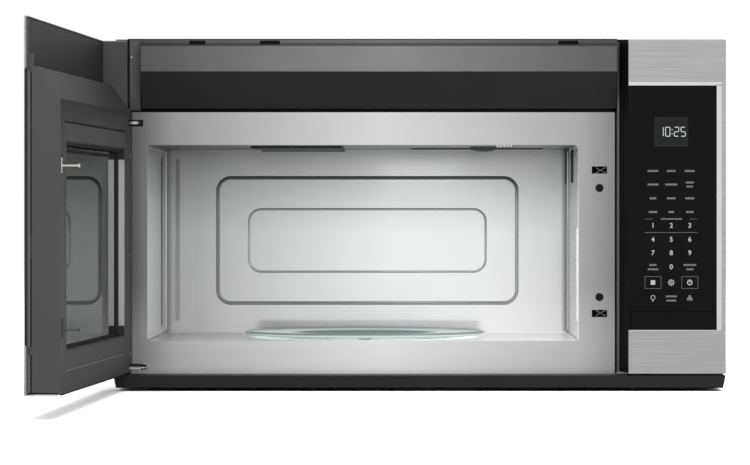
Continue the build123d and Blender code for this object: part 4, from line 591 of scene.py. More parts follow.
# %% [markdown]
# # Paints, mouldings and boards
# Painted and moulded surfaces are matt, with a fine even grain that catches the light. The vent
# and the door are moulded plastic with a spark eroded grain. The case is powder coated, which
# dries with a soft orange peel.

# %% Paint and moulded plastic
def moulded(name, dark, light, grain=900.0, rough=(0.42, 0.58), depth=0.00005, gloss=0.2, metal=0.0):
    """Moulded or painted material: a little cloudiness, an even grain and its roughness."""
    made = Finish(name, {GLOSS: gloss, "Metallic": metal})
    pips = made.noise(grain, detail=3.0, rough=0.6)
    cloud = made.fit(pips * 0.4 + made.noise(9.0, detail=3.0) * 0.6, 0.35, 0.65)
    return made.wear(colour=made.blend(cloud, tone(dark), tone(light)),
                     roughness=made.fit(pips, 0.3, 0.7, *rough), height=pips, depth=depth, strength=0.35)


def shaded(name, gloss, grain, axis, span, stops, cover, rough, strength):
    """A moulding with painted shade: its grey changes along an axis, under a thin cover of another grey."""
    made = Finish(name, {GLOSS: gloss})
    pips = made.noise(grain, detail=3.0)
    level, share = cover
    return made.covered(pips, made.greys(made.reach(axis, *span), *stops), level, share, rough,
                        height=pips, depth=0.00005, strength=strength)


def side_bead(name, foot, middle, top):
    """Soft upright bead with a painted reflection that darkens toward the ceiling."""
    made = Finish(name, {"Metallic": 0.7})
    streak = made.noise(1.0, (600, 600, 4))
    return made.wear(colour=made.greys(made.reach("Z", 0.07, 0.29), (0.0, foot), (0.5, middle), (1.0, top)),
                     roughness=made.fit(streak, 0.3, 0.7, 0.38, 0.45))


# The finishes that are a slot's own are kept by the slot's name.
FINISHES = {slot: moulded(name, *settings) for slot, name, *settings in (
    ("case_paint", "black_powder_coat", 36, 41, 700.0, (0.42, 0.55)),
    ("vent_grey", "vent_moulding", 42, 46, 1100.0, (0.45, 0.6)),
    ("black_moulding", "black_moulding", 13, 16, 1100.0, (0.45, 0.6), 0.00005, 0.08),
    ("door_plastic", "door_moulding", 80, 85, 1000.0, (0.4, 0.52)),
    ("bumper_rubber", "bumper_rubber", 20, 26, 1500.0, (0.6, 0.75)),
    ("white_plastic", "white_nylon", (222, 221, 214), (232, 231, 226), 900.0, (0.35, 0.5)),
    ("carbon", "charcoal_bed", 14, 44, 420.0, (0.7, 0.95), 0.0012),
    ("mica", "mica_sheet", (240, 240, 238), (252, 252, 250), 160.0, (0.25, 0.35), 0.00002, 0.2, 0.9))}
# Painted shade: the vent's end cap darker low down, lighter higher up.
cap_painted_shade = shaded("end_cap_moulding", 0.2, 1100.0, "Z", (0.343, 0.433),
                  ((0.0, 58), (0.27, 100), (0.6, 116), (1.0, 108)), (60, 0.08), (0.45, 0.6), 0.35)
channel_black = moulded("channel_moulding", 20, 24, 1100.0, (0.45, 0.6), gloss=0.08)
# Painted shade: the door's bevel darker towards the opening edge, lighter at the hinge.
bevel_shade = shaded("door_bevel_moulding", 0.1, 1000.0, "Y", (-0.778, -0.2),
                     ((0.0, 38), (0.6, 36), (1.0, 56)), (40, 0.1), (0.5, 0.6), 0.3)
# Painted shade: the lower hook is given a mid grey in place of the white of the upper one.
lower_hook_shade = moulded("lower_hook_moulding", 84, 92, 900.0, (0.5, 0.6))
door_shade = moulded("door_recess", 40, 44, 1000.0, (0.5, 0.6), gloss=0.1)
# Painted shade: the door's inner side darker at its bottom and at its top.
door_inner_painted_shade = shaded("door_inner_moulding", 0.15, 1000.0, "Z", (0.018, 0.345),
                    ((0.0, 52), (0.14, 74), (0.74, 74), (1.0, 42)), (40, 0.1), (0.42, 0.55), 0.3)
cover_plastic = moulded("choke_cover_moulding", 62, 66, 1000.0, (0.4, 0.52), gloss=0.15)
# Painted highlight: a light grey for thin lines along folds, rims and edges that catch the light.
painted_seam_highlight = moulded("painted_seam_highlight", 112, 122, 1000.0, (0.4, 0.5))
shadow_grey = moulded("shadow_grey", 78, 86, 600.0, (0.5, 0.6))
ink = moulded("panel_print", 206, 216, 2000.0, (0.5, 0.6))
faint_ink = moulded("faint_print", 118, 130, 2000.0, (0.5, 0.6))
display_dark = moulded("display_window", 34, 40, 2200.0, (0.35, 0.45), gloss=0.1)
# Greys of the beads' painted reflection: foot, middle and top.
wall_bead_steel = side_bead("wall_bead_steel", 140, 116, 102)
back_bead_steel = side_bead("back_bead_steel", 180, 172, 128)

# Painted light: the vent's upper face is a lighter grey than the rest of the vent, lightest in the middle of
# its length, with lighter and darker painted bands across its top edge.
brow_grey = Finish("vent_brow", {GLOSS: 0.3, "Metallic": 0.3})
satin = brow_grey.noise(1.0, (60, 600, 600), 3.0)
painted_brow_bands = brow_grey.ramp(brow_grey.reach("Z", 0.42, 0.434), *(
    (place, (share, share, share, 1))
    for place, share in ((0.3, 1), (0.4, 0.2), (0.55, 0.36), (0.8, 0.8), (0.95, 0.1))))
painted_brow_sheen = brow_grey.greys(brow_grey.reach("X", -0.3414, 0.2183),
                        (0.0, 93), (0.27, 126), (0.55, 143), (1.0, 98))
brow_grey.covered(satin, brow_grey.tinted(painted_brow_sheen, painted_brow_bands), 76, 0.08, (0.35, 0.5), (0.35, 0.65),
                  height=satin, depth=0.00003, strength=0.2)

# A glow for the lamp's holes: painted light.
lamp_glow = even_finish("lamp_glow", {"Emission Color": (1, 1, 1, 1), "Emission Strength": 0.8},
                        300.0, EVEN, 2.0, 230, 245, (0.3, 0.5))
digits_lit = even_finish("lit_segment", {
    "Emission Color": tone((236, 240, 242)), "Emission Strength": 0.35},
    300.0, EVEN, 2.0, (190, 196, 200), (205, 210, 214), (0.4, 0.5))

board = Finish("solder_mask", {"Coat Weight": 0.3})
tracks = board.node("ShaderNodeTexBrick", {"offset": 0.5}, {
    "Vector": board.here((160, 160, 160)), "Scale": 1.0, "Mortar Size": 0.06}, "Fac")
board.wear(colour=board.blend(tracks, tone((20, 74, 42)), tone((60, 128, 70))),
           roughness=board.fit(tracks, 0.0, 1.0, 0.45, 0.3), height=tracks, depth=0.0001, strength=0.4)
print("paints, mouldings and boards ready")

# %% [markdown]
# # Glass
# The front of the door and the control panel are black glass: almost no colour and a clean, weak
# mirror. The tray is clear glass with a green cast that gathers at its edges. Its flat part carries
# a painted reflection, dark in the middle and light towards the rim, its rim a painted highlight,
# and the same colours glow as painted light. The window's inner film is a dark mirror, because the
# oven behind it is unlit from the other side.

# %% Glass finishes
black_glass = even_finish("black_glass", {GLOSS: 0.06}, 14.0, EVEN, 4.0, 16, 20, (0.05, 0.12))
tint = even_finish("window_film", {GLOSS: 0.09, "IOR": 1.45}, 10.0, EVEN, 3.0,
                   (26, 30, 29), (32, 37, 35), (0.012, 0.025))

glass = Finish("tray_glass", {"Transmission Weight": 0.1, "IOR": 1.45, GLOSS: 0.0,
                              "Coat Roughness": 0.06, "Emission Strength": 0.3})
wash = glass.noise(20.0)
aside = glass.along("X") - TRAY_X
ahead = glass.along("Y") - TRAY_Y
from_middle = aside.maths("SQRT", aside * aside + ahead * ahead)
# Painted reflection: the flat part darker in the middle, lighter towards the rim.
flat = glass.ramp(
    glass.fit(from_middle, 0.0, 0.16), (0.5, tone((128, 142, 139))),
    (0.62, tone((230, 239, 237))), (0.9, tone((240, 246, 245))), (0.96, tone((170, 181, 179))))
# Painted highlight: a bright band along the rim's outer side, darker below and above it.
side = glass.ramp(
    glass.reach("Z", 0.059, 0.065), (0.0, tone((112, 124, 122))),
    (0.38, tone((238, 247, 246))), (0.75, tone((124, 136, 134))))
# The painted colours also glow, though the tray is no lamp.
glow = glass.blend(glass.fit(from_middle, 0.1525, 0.154), flat, side)
glass.covered(wash, glow, (160, 174, 172), 0.06, (0.05, 0.09), height=wash, depth=0.0003, strength=0.1,
              Emission_Color=glow, Coat_Weight=glass.fit(from_middle, 0.15, 0.153))

lens = Finish("frosted_lens", {"Transmission Weight": 0.5, "IOR": 1.5})
ribs = lens.node("ShaderNodeTexWave", {"bands_direction": "X"}, {"Vector": lens.here(), "Scale": 160.0})
lens.follow(ribs, 212, 240, (0.2, 0.35), (0.0, 1.0), (0.0, 1.0), 0.0006, 0.6)

FINISHES.update(
    zinc_sheet=zinc, cavity_steel=cavity, choke_metal=choke, stainless=stainless, filter_mesh=knit,
    clear_lens=lens, copper_core=copper, tube_steel=tube, board_green=board, damper_sheet=flap,
    shaft_steel=bare, black_glass=black_glass, tray_glass=glass, window_tint=tint, screen_metal=screen)
print("glass ready,", len(FINISHES), "slots")

# %% [markdown]
# # Dressing the engineering parts
# The record names a material slot for each solid, so each slot has one finish and every part of the
# model takes the finish of its slot. Parts that get a formed copy later are hidden behind it.

# %% Give each node its finish
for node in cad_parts.values():
    slot = node.data.materials[0].name
    node.data.materials.clear()
    node.data.materials.append(FINISHES[slot].material)
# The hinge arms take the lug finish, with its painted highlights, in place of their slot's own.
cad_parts["hinge_arms"].data.materials[0] = lug.material
print("dressed", len(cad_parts), "nodes with", len(FINISHES), "finishes")

# %% [markdown]
# # The cabinet's outside
# The case, base and plates are folded from sheet, and a fold is never a sharp edge. A merged copy
# of each engineering part gets its edges rounded with a Bevel modifier, which keeps the size and
# catches a thin line of light as the real fold does.

# %% Folded sheet
FOOT_X, FOOT_Z = 0.375, 0.004  # metres, past which the base's bottom corners lie
TAPER = 2.8  # how far those corners move inward
FOLD_X = 249.8  # the channel's fold lies left of it
# Faces above BROW_Z take the vent brow's painted light.
BROW_Z = 393.4  # the vent's light brow lies above it


def second_finish(piece, finish, test):
    """Gives the faces that pass a test another finish."""
    hold(piece)
    bpy.ops.object.material_slot_add()
    piece.material_slots[-1].material = finish.material
    piece.active_material_index = len(piece.material_slots) - 1
    count = choose(piece, test)
    bpy.ops.object.material_slot_assign()
    hold(piece)
    return count


soften("outer_case", 0.8, "case_paint")
pan = merged("base_pan", "base_pan_formed", True)
for side in (-1, 1):
    choose(pan, lambda at, facing: False)
    bpy.ops.mesh.select_mode(type="VERT")
    shape = bmesh.from_edit_mesh(pan.data)
    foot = [vert for vert in shape.verts if side * vert.co.x > FOOT_X and vert.co.z < FOOT_Z]
    for vert in foot:
        vert.select_set(True)
    bmesh.update_edit_mesh(pan.data)
    bpy.ops.transform.translate(value=(-side * TAPER * MM, 0, 0))
    hold(pan)
print("tapered", len(foot), "corners of the base on each side")
rounded(pan, 0.8)
smooth(pan)
fit_out(pan, "case_paint", replaced="base_pan")
soften("front_plate", 0.35, "cavity_steel", plate)
channel = soften("finger_channel", 0.3, "black_moulding", channel_black)
soften("panel_insert", 0.4, "black_moulding")
soften("panel_trim", 0.35, "stainless")
soften("vent_end_cap", 0.3, "vent_grey", cap_painted_shade)
vent = soften("vent_housing", 0.8, "vent_grey")
# Painted highlight along the channel's fold.
lit = second_finish(channel, painted_seam_highlight, lambda at, facing: (
    at.x < FOLD_X and facing.x < -0.3 and facing.y < -0.3))
brow = second_finish(vent, brow_grey, lambda at, facing: facing.y < -0.3 and at.z > BROW_Z)
print("channel fold", lit, "brow faces", brow)

# %% [markdown]
# # Underside
# Each grease filter is a mesh in a thin folded frame with a finger tab. The frame is four bars and
# the tab a fifth, joined and rounded. They stay inside the opening, so they add no height.

# %% Frames of the grease filters
bars = []
for middle in (-130, 130):
    for front, back in ((-100.2, -92.0), (32.0, 40.2)):
        bars.append(((middle - 110, front, 0.9), (middle + 110, back, 2.0)))
    for left, right in ((-110.2, -102), (102, 110.2)):
        bars.append(((middle + left, -100.2, 0.9), (middle + right, 40.2, 2.0)))
    bars.append(((middle - 14, -97.5, 0.3), (middle + 14, -86.0, 1.2)))  # the finger tab
barred("grease_filter_frames", "filter_mesh", tube, 0.3, *bars)

# %% [markdown]
# # The oven cavity
# The back wall has two beads pressed into it, one inside the other, which keep the thin sheet from
# drumming. Each bead is a low half round ridge. A flat plate with rounded corners is inset four
# times, its middle is deleted, and the rings of points that stay are raised by a sine of their
# place across the ridge. A bevelled curve could make it too, but its corners would pinch.

# %% The two pressed beads
RINGS = 4  # insets across a ridge
BACK_WALL = 184.6


def bead_frame(name, low, high, corner, width, rise):
    """A rounded rectangular ridge on the back wall, between two (x, z) corners in mm."""
    middle = Vector(((low[0] + high[0]) / 2 * MM, 0, (low[1] + high[1]) / 2 * MM))
    half = Vector(((high[0] - low[0]) / 2 * MM, 0, (high[1] - low[1]) / 2 * MM))
    bpy.ops.mesh.primitive_plane_add(size=1, rotation=UPRIGHT,
                                     location=(middle.x, BACK_WALL * MM, middle.z))
    piece = bpy.context.object
    piece.scale = ((high[0] - low[0]) * MM, (high[1] - low[1]) * MM, 1)
    settle(piece, name)
    bpy.ops.object.mode_set(mode="EDIT")
    bpy.ops.mesh.select_all(action="SELECT")
    bpy.ops.mesh.bevel(offset=corner * MM, segments=12, affect="VERTICES")
    bpy.ops.mesh.select_all(action="SELECT")
    for _ in range(RINGS):
        bpy.ops.mesh.inset(thickness=width / RINGS * MM, use_even_offset=True)
    bpy.ops.mesh.delete(type="FACE")
    shape = bmesh.from_edit_mesh(piece.data)
    bend = half - Vector((corner * MM, 0, corner * MM))
    for vert in shape.verts:
        across = Vector((abs(vert.co.x - middle.x), 0, abs(vert.co.z - middle.z)))
        past = Vector((max(across.x - bend.x, 0), 0, max(across.z - bend.z, 0)))
        depth_in = corner * MM - past.length
        if past.x <= 0 or past.z <= 0:
            depth_in = min(half.x - across.x, half.z - across.z)
        share = max(0.0, min(1.0, depth_in / (width * MM)))
        vert.co.y -= rise * MM * math.sin(math.pi * share)
    bmesh.update_edit_mesh(piece.data)
    bpy.ops.object.mode_set(mode="OBJECT")
    smooth(piece, 80)
    return piece


outer_bead = bead_frame("outer_bead", (-273.0, 93.7), (133.0, 266.6), 20.0, 4.6, 1.4)
inner_bead = bead_frame("inner_bead", (-230.3, 136.6), (90.3, 223.5), 18.0, 3.0, 1.2)
for bead, steel in ((outer_bead, outer_bead_steel), (inner_bead, inner_bead_steel)):
    fit_out(bead, "cavity_steel", steel)

# %% [markdown]
# The ceiling has a dark vent screen, a channel and a round boss, and the right wall a vent panel.
# They lie almost edge on to the camera, so thin rounded plates in the right finish are enough, and
# the boss is turned from its profile. Two more beads stiffen the left wall and the back wall.

# %% Ceiling, wall panel and side beads
CEILING = 302.0

barred("ceiling_vent_screen", "screen_metal", None, 0.3, ((-214.5, -88, 299.7), (-98.5, 28, 301.9)))
barred("ceiling_channel", "screen_metal", None, 0.3, ((-11.0, 66, 300.9), (162.0, 108, 301.9)))
boss = spun("ceiling_boss", [(0, 0), (17, 0), (17, -1.4), (15.4, -3.6), (11, -5.2), (0, -6.0)],
            (82.0, -20.0, CEILING), steps=40)
smooth(boss, 50)
fit_out(boss, "choke_metal", shadow_grey)
for name, slot, finish, radius, *boxes in (
        ("wall_vent_panel", "screen_metal", FINISHES["black_moulding"], 0.2,
         ((198.6, 6, 256.4), (199.25, 68, 299.4))),
        ("left_wall_bead", "cavity_steel", wall_bead_steel, 0.6,
         ((-340.45, 90, 69.0), (-339.9, 112, 291.0))),
        ("back_wall_bead", "cavity_steel", back_bead_steel, 0.6,
         ((-327.4, 184.3, 73.0), (-322.2, 185.45, 289.0))),
        ("ceiling_screen_edge", "zinc_sheet", painted_seam_highlight, 0.2,
         ((-211.6, 184.9, 299.2), (-100.0, 185.45, 301.4))),
        ("corner_bracket", "zinc_sheet", shadow_grey, 0.2,
         ((195.4, 184.9, 256.0), (197.4, 185.45, 301.6)), ((193.0, 90.0, 300.9), (199.0, 170.0, 301.8)))):
    barred(name, slot, finish, radius, *boxes)
# Small glowing domes at the lamp's holes, no lamp themselves: painted light.
glints = [spun("glint", [(0, -1.1), (0.7, -0.9), (1.2, -0.3), (1.3, 0)],
               (98.6 + 4.3 * place, -118.0 + 4 * (place % 2), CEILING), steps=12) for place in range(5)]
fit_out(joined("lamp_hole_glints", glints), "clear_lens", lamp_glow)
print("cavity pieces ready,", len(glints), "lamp glints")

# %% [markdown]
# # The tray
# The glass tray is turned from its profile: a flat centre, a step, a flat ring and a raised rim.
# It takes the place of the plain engineering tray and rides on the turntable.

# %% Turntable tray
tray = spun("pressed_glass_tray", [
    (0, 59), (60, 59), (62, 59.3), (118, 59.3), (120, 59), (147, 59), (152, 60), (155, 62), (156, 63.8),
    (155.7, 64.7), (155, 65), (154.2, 64.8), (152.6, 63.6), (149, 62.6), (120, 62.4), (118, 62.6),
    (62, 62.6), (60, 62.4), (0, 62.4)], (TRAY_X / MM, TRAY_Y / MM, 0), steps=96)
smooth(tray, 40)
fit_out(tray, "tray_glass", body="turntable", replaced="glass_tray")

# %% [markdown]
# # The front plate's small hardware
# Two round rubber bumpers stop the closed door, two slots take its hooks, and the hinge lugs pass
# through slots at the left. Each bumper is a low dome, turned from its profile. Behind each latch
# slot a crossed pair of sprung metal strips holds the hook.

# %% Bumpers and latch hardware
PLATE_Y = -164.5  # front of the steel plate
BUMPER_LEVELS = (111.9, 248.3)
LATCH_LEVELS = (91.3, 270.8)

dome = [(0, -1), (3, -1), (3, 0), (5.1, 0), (5.1, 0.25), (4.4, 0.6), (2.6, 0.85), (0, 0.9)]
domes = [spun("bumper", dome, (225.1, PLATE_Y, level), "Y", 32) for level in BUMPER_LEVELS]
bumpers = joined("domed_bumpers", domes)
smooth(bumpers, 60)
fit_out(bumpers, "bumper_rubber", replaced="door_bumpers")


def strip(name, centre, size, turn=0.0):
    """A small bar, turned about Y, with rounded edges."""
    bpy.ops.mesh.primitive_cube_add(size=1, location=[c * MM for c in centre],
                                    scale=[d * MM for d in size], rotation=(0, math.radians(turn), 0))
    piece = settle(bpy.context.object, name)
    rounded(piece, min(size) * 0.3)
    return piece


crossed = [strip("spring", (227.5, -141.0, level), (1.6, 1.6, 15.0), turn)
           for level in LATCH_LEVELS for turn in (58, -58)]
studs = [strip("stud", (x, -141.8, level + z), (2.2, 1.2, 2.0)) for level in LATCH_LEVELS
         for x, z in ((228.6, 0.0), (233.0, 2.6), (233.0, -2.6), (223.6, 1.6))]
fit_out(joined("latch_slot_springs", crossed + studs), "zinc_sheet")

# %% [markdown]
# # The control panel
# The panel is black touch glass between two brushed trims. Its numbers, lines and signs are
# printed, so each is a very thin raised shape. The clock shows seven segment figures, and every
# key has a plain bar to find it by.

# %% Bright inner edge of the trim
edges = [block("edge", (left, -205.75, low), (right, -205.45, high)) for left, right, low, high in (
    (259.3, 374.6, 375.2, 379.4), (368.6, 374.6, 71.4, 376.0), (259.3, 369.0, 70.7, 71.9))]
fit_out(joined("trim_inner_edge", edges), "stainless", strip_steel)

# %% Printed numbers, lines and signs
GLASS_Y = -205.2
PRINT = 0.06  # thickness of the print
COLUMNS = LEFT, CENTRE, RIGHT = 289.5, 312.2, 335.2
FIGURE_HEIGHT = 5.8
CAPITAL_SHARE = 0.7  # height of a figure in the font's size


def bar(x, z, width, height):
    """A printed bar round a point of the glass."""
    return block("mark", (x - width / 2, GLASS_Y - PRINT, z - height / 2),
                 (x + width / 2, GLASS_Y, z + height / 2))


def figure(text, x, z):
    """A printed figure, as a thin mesh."""
    bpy.ops.object.text_add(rotation=UPRIGHT, location=(x * MM, (GLASS_Y - PRINT / 2) * MM, z * MM))
    letter = bpy.context.object
    letter.data.body = text
    letter.data.align_x = "CENTER"
    letter.data.align_y = "CENTER"
    letter.data.size = FIGURE_HEIGHT / CAPITAL_SHARE * MM
    letter.data.extrude = PRINT / 2 * MM
    letter.data.offset = 0.12 * MM
    hold(letter)
    bpy.ops.object.convert(target="MESH")
    return settle(bpy.context.object, "figure")


def ring(x, z, outer, inner, steps=24):
    """A printed ring."""
    return spun("ring", [(inner, 0), (outer, 0), (outer, PRINT), (inner, PRINT), (inner, 0)],
                (x, GLASS_Y, z), "Y", steps)


def around(x, z, reach, count, first=0):
    """Points at even steps round another."""
    angles = [math.radians(first) + math.tau * turn / count for turn in range(count)]
    return [(x + reach * math.cos(angle), z + reach * math.sin(angle)) for angle in angles]


marks = [figure(text, x, z) for z, row in zip((201.3, 184.1, 167.4), ("123", "456", "789"))
         for x, text in zip(COLUMNS, row)]
marks.append(figure("0", CENTRE, 150.0))
marks += [bar(LEFT, 130.8, 5.6, 5.6)]  # stop
marks += [ring(RIGHT, 130.8, 3.4, 2.3), bar(RIGHT, 132.6, 0.9, 4.4)]  # power
marks += [ring(CENTRE, 130.8, 3.1, 2.4), ring(CENTRE, 130.8, 1.2, 0.5, 16)]  # gear
marks += [bar(x, z, 1.1, 1.1) for x, z in around(CENTRE, 130.8, 3.5, 8)]
marks += [ring(LEFT, 112.2, 2.9, 2.3), bar(LEFT, 108.6, 2.2, 0.6), bar(LEFT, 107.4, 1.6, 0.5)]  # lamp
marks += [ring(x, z, 1.6, 1.1, 16) for x, z in around(RIGHT, 111.2, 2.1, 3, 90)]  # fan
fit_out(joined("panel_print", marks), "white_plastic", ink)

plain = [bar(x, z, width, 2.4) for z, widths in zip((269.1, 252.3, 235.2, 218.2), (
    (13.5, 10.5, 12.5), (13.5, 15.0, 0), (8.5, 10.5, 11.5), (10.5, 7.0, 9.5)))
    for x, width in zip(COLUMNS, widths) if width]
plain += [bar(x, z, width, 2.2) for x, z, width in (
    (RIGHT, 254.8, 10.0), (RIGHT, 249.8, 8.0), (LEFT, 152.6, 9.0), (LEFT, 147.2, 13.0),
    (RIGHT, 152.6, 16.0), (RIGHT, 147.2, 9.0), (CENTRE, 113.6, 14.0), (CENTRE, 108.4, 12.0))]
plain += [bar(284.2, 209.6, 9.0, 0.5), bar(339.8, 209.6, 9.0, 0.5), bar(CENTRE, 209.6, 26.0, 1.6),
          bar(311.9, 192.8, 65.5, 0.6)]
for x in (LEFT, RIGHT):
    plain += [bar(x, 138.2, 20.0, 0.5), bar(x, 123.4, 20.0, 0.5)]
    plain += [bar(x - 10, 130.8, 0.5, 15.2), bar(x + 10, 130.8, 0.5, 15.2)]
fit_out(joined("panel_print_faint", plain), "white_plastic", faint_ink)

# %% Clock window and its figures
CLOCK_Z = 317.8
SEGMENTS = {"0": "abcdef", "1": "bc", "2": "abged", "5": "afgcd"}
STROKES = {"a": (0, 5.6, 4.6, 0.8), "g": (0, 0, 4.6, 0.8), "d": (0, -5.6, 4.6, 0.8),
           "f": (-2.7, 2.8, 0.8, 5.0), "b": (2.7, 2.8, 0.8, 5.0),
           "e": (-2.7, -2.8, 0.8, 5.0), "c": (2.7, -2.8, 0.8, 5.0)}

barred("clock_window", "black_glass", display_dark, 0.02,
       ((290.7, GLASS_Y - 0.05, 299.2), (333.2, GLASS_Y, 336.0)))
strokes = []
for text, x in zip("1025", (299.6, 307.9, 318.7, 326.9)):
    for name in SEGMENTS[text]:
        across, up, width, height = STROKES[name]
        strokes.append(bar(x + across, CLOCK_Z + up, width, height))
strokes += [bar(313.3, CLOCK_Z + up, 1.1, 1.1) for up in (2.6, -2.6)]
for stroke in strokes:
    stroke.data.transform(Matrix.Translation((0, -PRINT * MM, 0)))
fit_out(joined("clock_figures", strokes), "white_plastic", digits_lit)

# %% [markdown]
# # Vent details
# Three dark slots along the vent's top edge take the tabs of the vent cover, and a screw holds its
# end cap. The slots are small dark inlays, rounded at their edges, that paint the shade inside
# them. Dark strips along gaps, round the hinge slots and along the vent's top edge are painted
# shadow.

# %% Tab slots, screw and shadow gaps
def pan_screw(name, centre, radius):
    """A domed screw head that looks forward, with a cross cut into it."""
    head = spun(name, [(0, 0), (radius, 0), (radius, 0.35), (radius * 0.7, 0.8), (0, 1.0)], centre, "Y", 24)
    smooth(head, 50)
    for wide, tall in ((radius * 1.2, radius * 0.28), (radius * 0.28, radius * 1.2)):
        cutter = block("cutter", (centre[0] - wide / 2, centre[1] - 2.0, centre[2] - tall / 2),
                       (centre[0] + wide / 2, centre[1] - 0.45, centre[2] + tall / 2))
        modify(head, "BOOLEAN", operation="DIFFERENCE", object=cutter, solver="EXACT")
        bpy.data.objects.remove(cutter)
    return head


barred("vent_tab_slots", "black_moulding", None, 0.3, *(
    ((left, -191.0, 426.8), (right, -190.2, 431.4))
    for left, right in ((-286.3, -266.4), (-198.4, -173.5), (172.7, 197.5))))
fit_out(pan_screw("end_cap_screw", (-360.4, PLATE_Y, 411.3), 1.9), "shaft_steel")
# Painted shadow: dark strips where gaps and slots lie in shade.
barred("shadow_gaps", "black_moulding", None, 0.1,
       ((244.2, -164.8, 16.2), (246.8, -164.4, 343.4)), ((-348.4, -165.1, 344.5), (-346.8, -164.2, 432.0)),
       ((-363.0, -165.1, 343.4), (-362.3, -164.2, 432.8)), ((-363.0, -165.2, 343.2), (244.4, -164.6, 345.0)),
       ((-363.0, -164.9, 325.4), (-345.6, -164.3, 332.6)), ((-348.0, -164.9, 24.6), (-341.4, -164.3, 27.2)),
       ((-348.0, -164.9, 21.4), (-340.6, -164.3, 22.7)), ((-362.9, -190.4, 432.5), (246.0, -189.4, 433.6)))
pin_ends = joined("hinge_pin_ends", [
    block("pin", (-348.0, -165.3, 22.6), (-344.0, -164.5, 24.5)),
    spun("pin", [(0, 0), (1.3, 0), (1.3, 0.45), (0.8, 0.8), (0, 0.9)], (-339.6, PLATE_Y, 25.4), "Y", 16),
    block("pin", (-349.6, -165.2, 327.6), (-348.7, -164.3, 331.0))])
rounded(pin_ends, 0.2)
fit_out(pin_ends, "shaft_steel", polished)

# %% [markdown]
# # The door
# The door is a moulded frame with a metal choke panel and a window, faced with glass and brushed
# trims. Its inner side shows the frame's hollow top, a bevel, and the choke cover round the
# window. Copies of the engineering parts get softly rounded edges. The hollow at the top is given
# a darker grey, painted shade because no light reaches it, and the bevel and the inner side carry
# painted shade that darkens towards their ends.

# %% Door mouldings and trims
def on_door(point):
    """(u, v, z) of a point in mm on the open door."""
    return (DOOR_TURN.inverted() @ (point * MM)) / MM


HOLLOW_Z, HOLLOW_U, HOLLOW_V = 377, 5, -16  # bounds of the hollow top
INNER_V = 6  # the frame's inner side lies beyond it
door_frame = soften("door_frame", 0.6, "door_plastic", body="door")
# Painted shade in the hollow top, on the inner side and on the bevel.
dark = second_finish(door_frame, door_shade, lambda at, facing: (
    facing.x > 0.9 and at.z > HOLLOW_Z and on_door(at).y < HOLLOW_V and on_door(at).x > HOLLOW_U))
inner = second_finish(door_frame, door_inner_painted_shade, lambda at, facing: facing.x > 0.9 and on_door(at).y > INNER_V)
bevels = second_finish(door_frame, bevel_shade, lambda at, facing: facing.x > 0.5 and facing.z > 0.4)
print("recess faces", dark, "inner faces", inner, "bevel faces", bevels)
soften("door_trim", 0.3, "stainless", body="door")
soften("choke_cover", 0.5, "door_plastic", cover_plastic, "door")

# %% [markdown]
# The open door is seen almost edge on, so its folds, seams and rims are what shows. Each is a thin
# bar, placed in the closed door's own measures, u from the hinge and v through the thickness, then
# swung open with the door. Thin bars are simpler than cuts, and leave the outline as it is. The
# light bars are painted highlights along folds, rims and edges; the dark bars are partly dark
# joints and mostly painted shade along grooves and recesses.

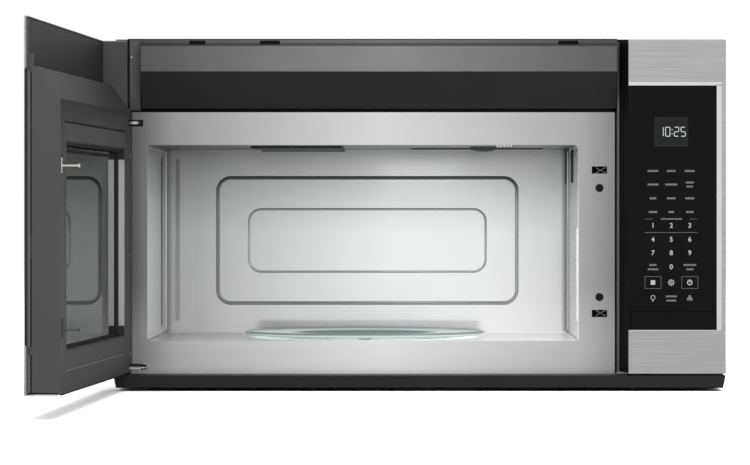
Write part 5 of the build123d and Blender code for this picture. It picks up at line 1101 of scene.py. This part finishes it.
# %% Edges, seams and the window's rim
for name, slot, finish, *boxes in (
        ("door_trim_ends", "stainless", polished, ((604.0, -33.0, 375.3), (606.0, -31.2, 431.9)),
         ((604.0, -33.0, 17.8), (606.0, -31.2, 71.8)), ((598.0, -29.2, 17.75), (603.6, 3.6, 19.2))),
        ("door_trim_folds", "door_plastic", painted_seam_highlight, ((603.8, -31.1, 375.6), (605.8, -29.2, 431.6)),
         ((603.8, -31.1, 18.0), (605.8, -29.2, 71.6))),
        ("door_rim", "door_plastic", painted_seam_highlight, ((600.0, -29.4, 21.0), (603.8, -26.6, 371.0))),
        ("door_trim_corners", "door_plastic", None, ((598.0, -29.0, 375.6), (603.8, -23.6, 391.0)),
         ((598.0, -29.0, 62.0), (603.8, -23.6, 71.0))),
        ("glass_edge", "black_glass", painted_seam_highlight, ((605.7, -32.8, 72.6), (606.0, -31.6, 374.4))),
        # Dark lines along the door's grooves, joints and the window's recess: partly dark joints, mostly
        # painted shade.
        ("door_seams", "black_moulding", None, ((8.0, -28.5, 429.0), (603.0, -28.1, 431.4)),
         ((62.0, 6.7, 316.8), (572.0, 7.1, 318.6)), ((598.0, -29.2, 19.3), (603.7, 3.6, 20.9)),
         ((8.0, 6.2, 17.75), (603.2, 7.0, 19.4)), ((74.0, 3.6, 291.6), (556.0, 4.6, 295.0)),
         ((74.0, -3.0, 284.6), (556.0, -2.0, 288.0)), ((74.0, -3.0, 66.2), (556.0, -1.0, 69.5))),
        ("cover_light_line", "door_plastic", painted_seam_highlight, ((66.0, 6.8, 43.0), (566.0, 7.1, 44.3))),
        ("window_side_steel", "stainless", strip_steel, ((70.2, -0.6, 78.4), (71.0, 6.7, 282.6)))):
    barred(name, slot, finish, 0.25, *boxes, body="door")

# %% [markdown]
# A bar inside the door carries both hooks, and all of it slides up together when the door shuts.
# Its top stays clear of the spring, which needs room for that travel.

# %% Latch hooks
hooks = barred("latch_hooks", "white_plastic", None, 0.3,
               ((589.6, -6.0, 267.9), (592.6, 26.4, 269.7)), ((589.6, 24.4, 266.8), (592.6, 26.4, 270.6)),
               ((588.4, 5.0, 260.4), (593.8, 6.6, 277.6)), ((589.6, -6.0, 88.2), (592.6, 26.4, 90.4)),
               ((589.6, 24.4, 87.3), (592.6, 26.4, 91.1)), ((588.2, -9.0, 70.0), (594.0, -2.0, 285.4)),
               body="latch")
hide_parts("latch_key")
# Painted shade on the lower hook.
lower = second_finish(hooks, lower_hook_shade, lambda at, facing: at.z < 120)
print("faces of the lower hook", lower)

# %% Size of the finished object
size = {"cad": [list(corner) for corner in CAD_BOX], "visual": [list(corner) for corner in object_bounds()]}
print("visual box in mm:", [[round(v / MM, 1) for v in corner] for corner in size["visual"]])
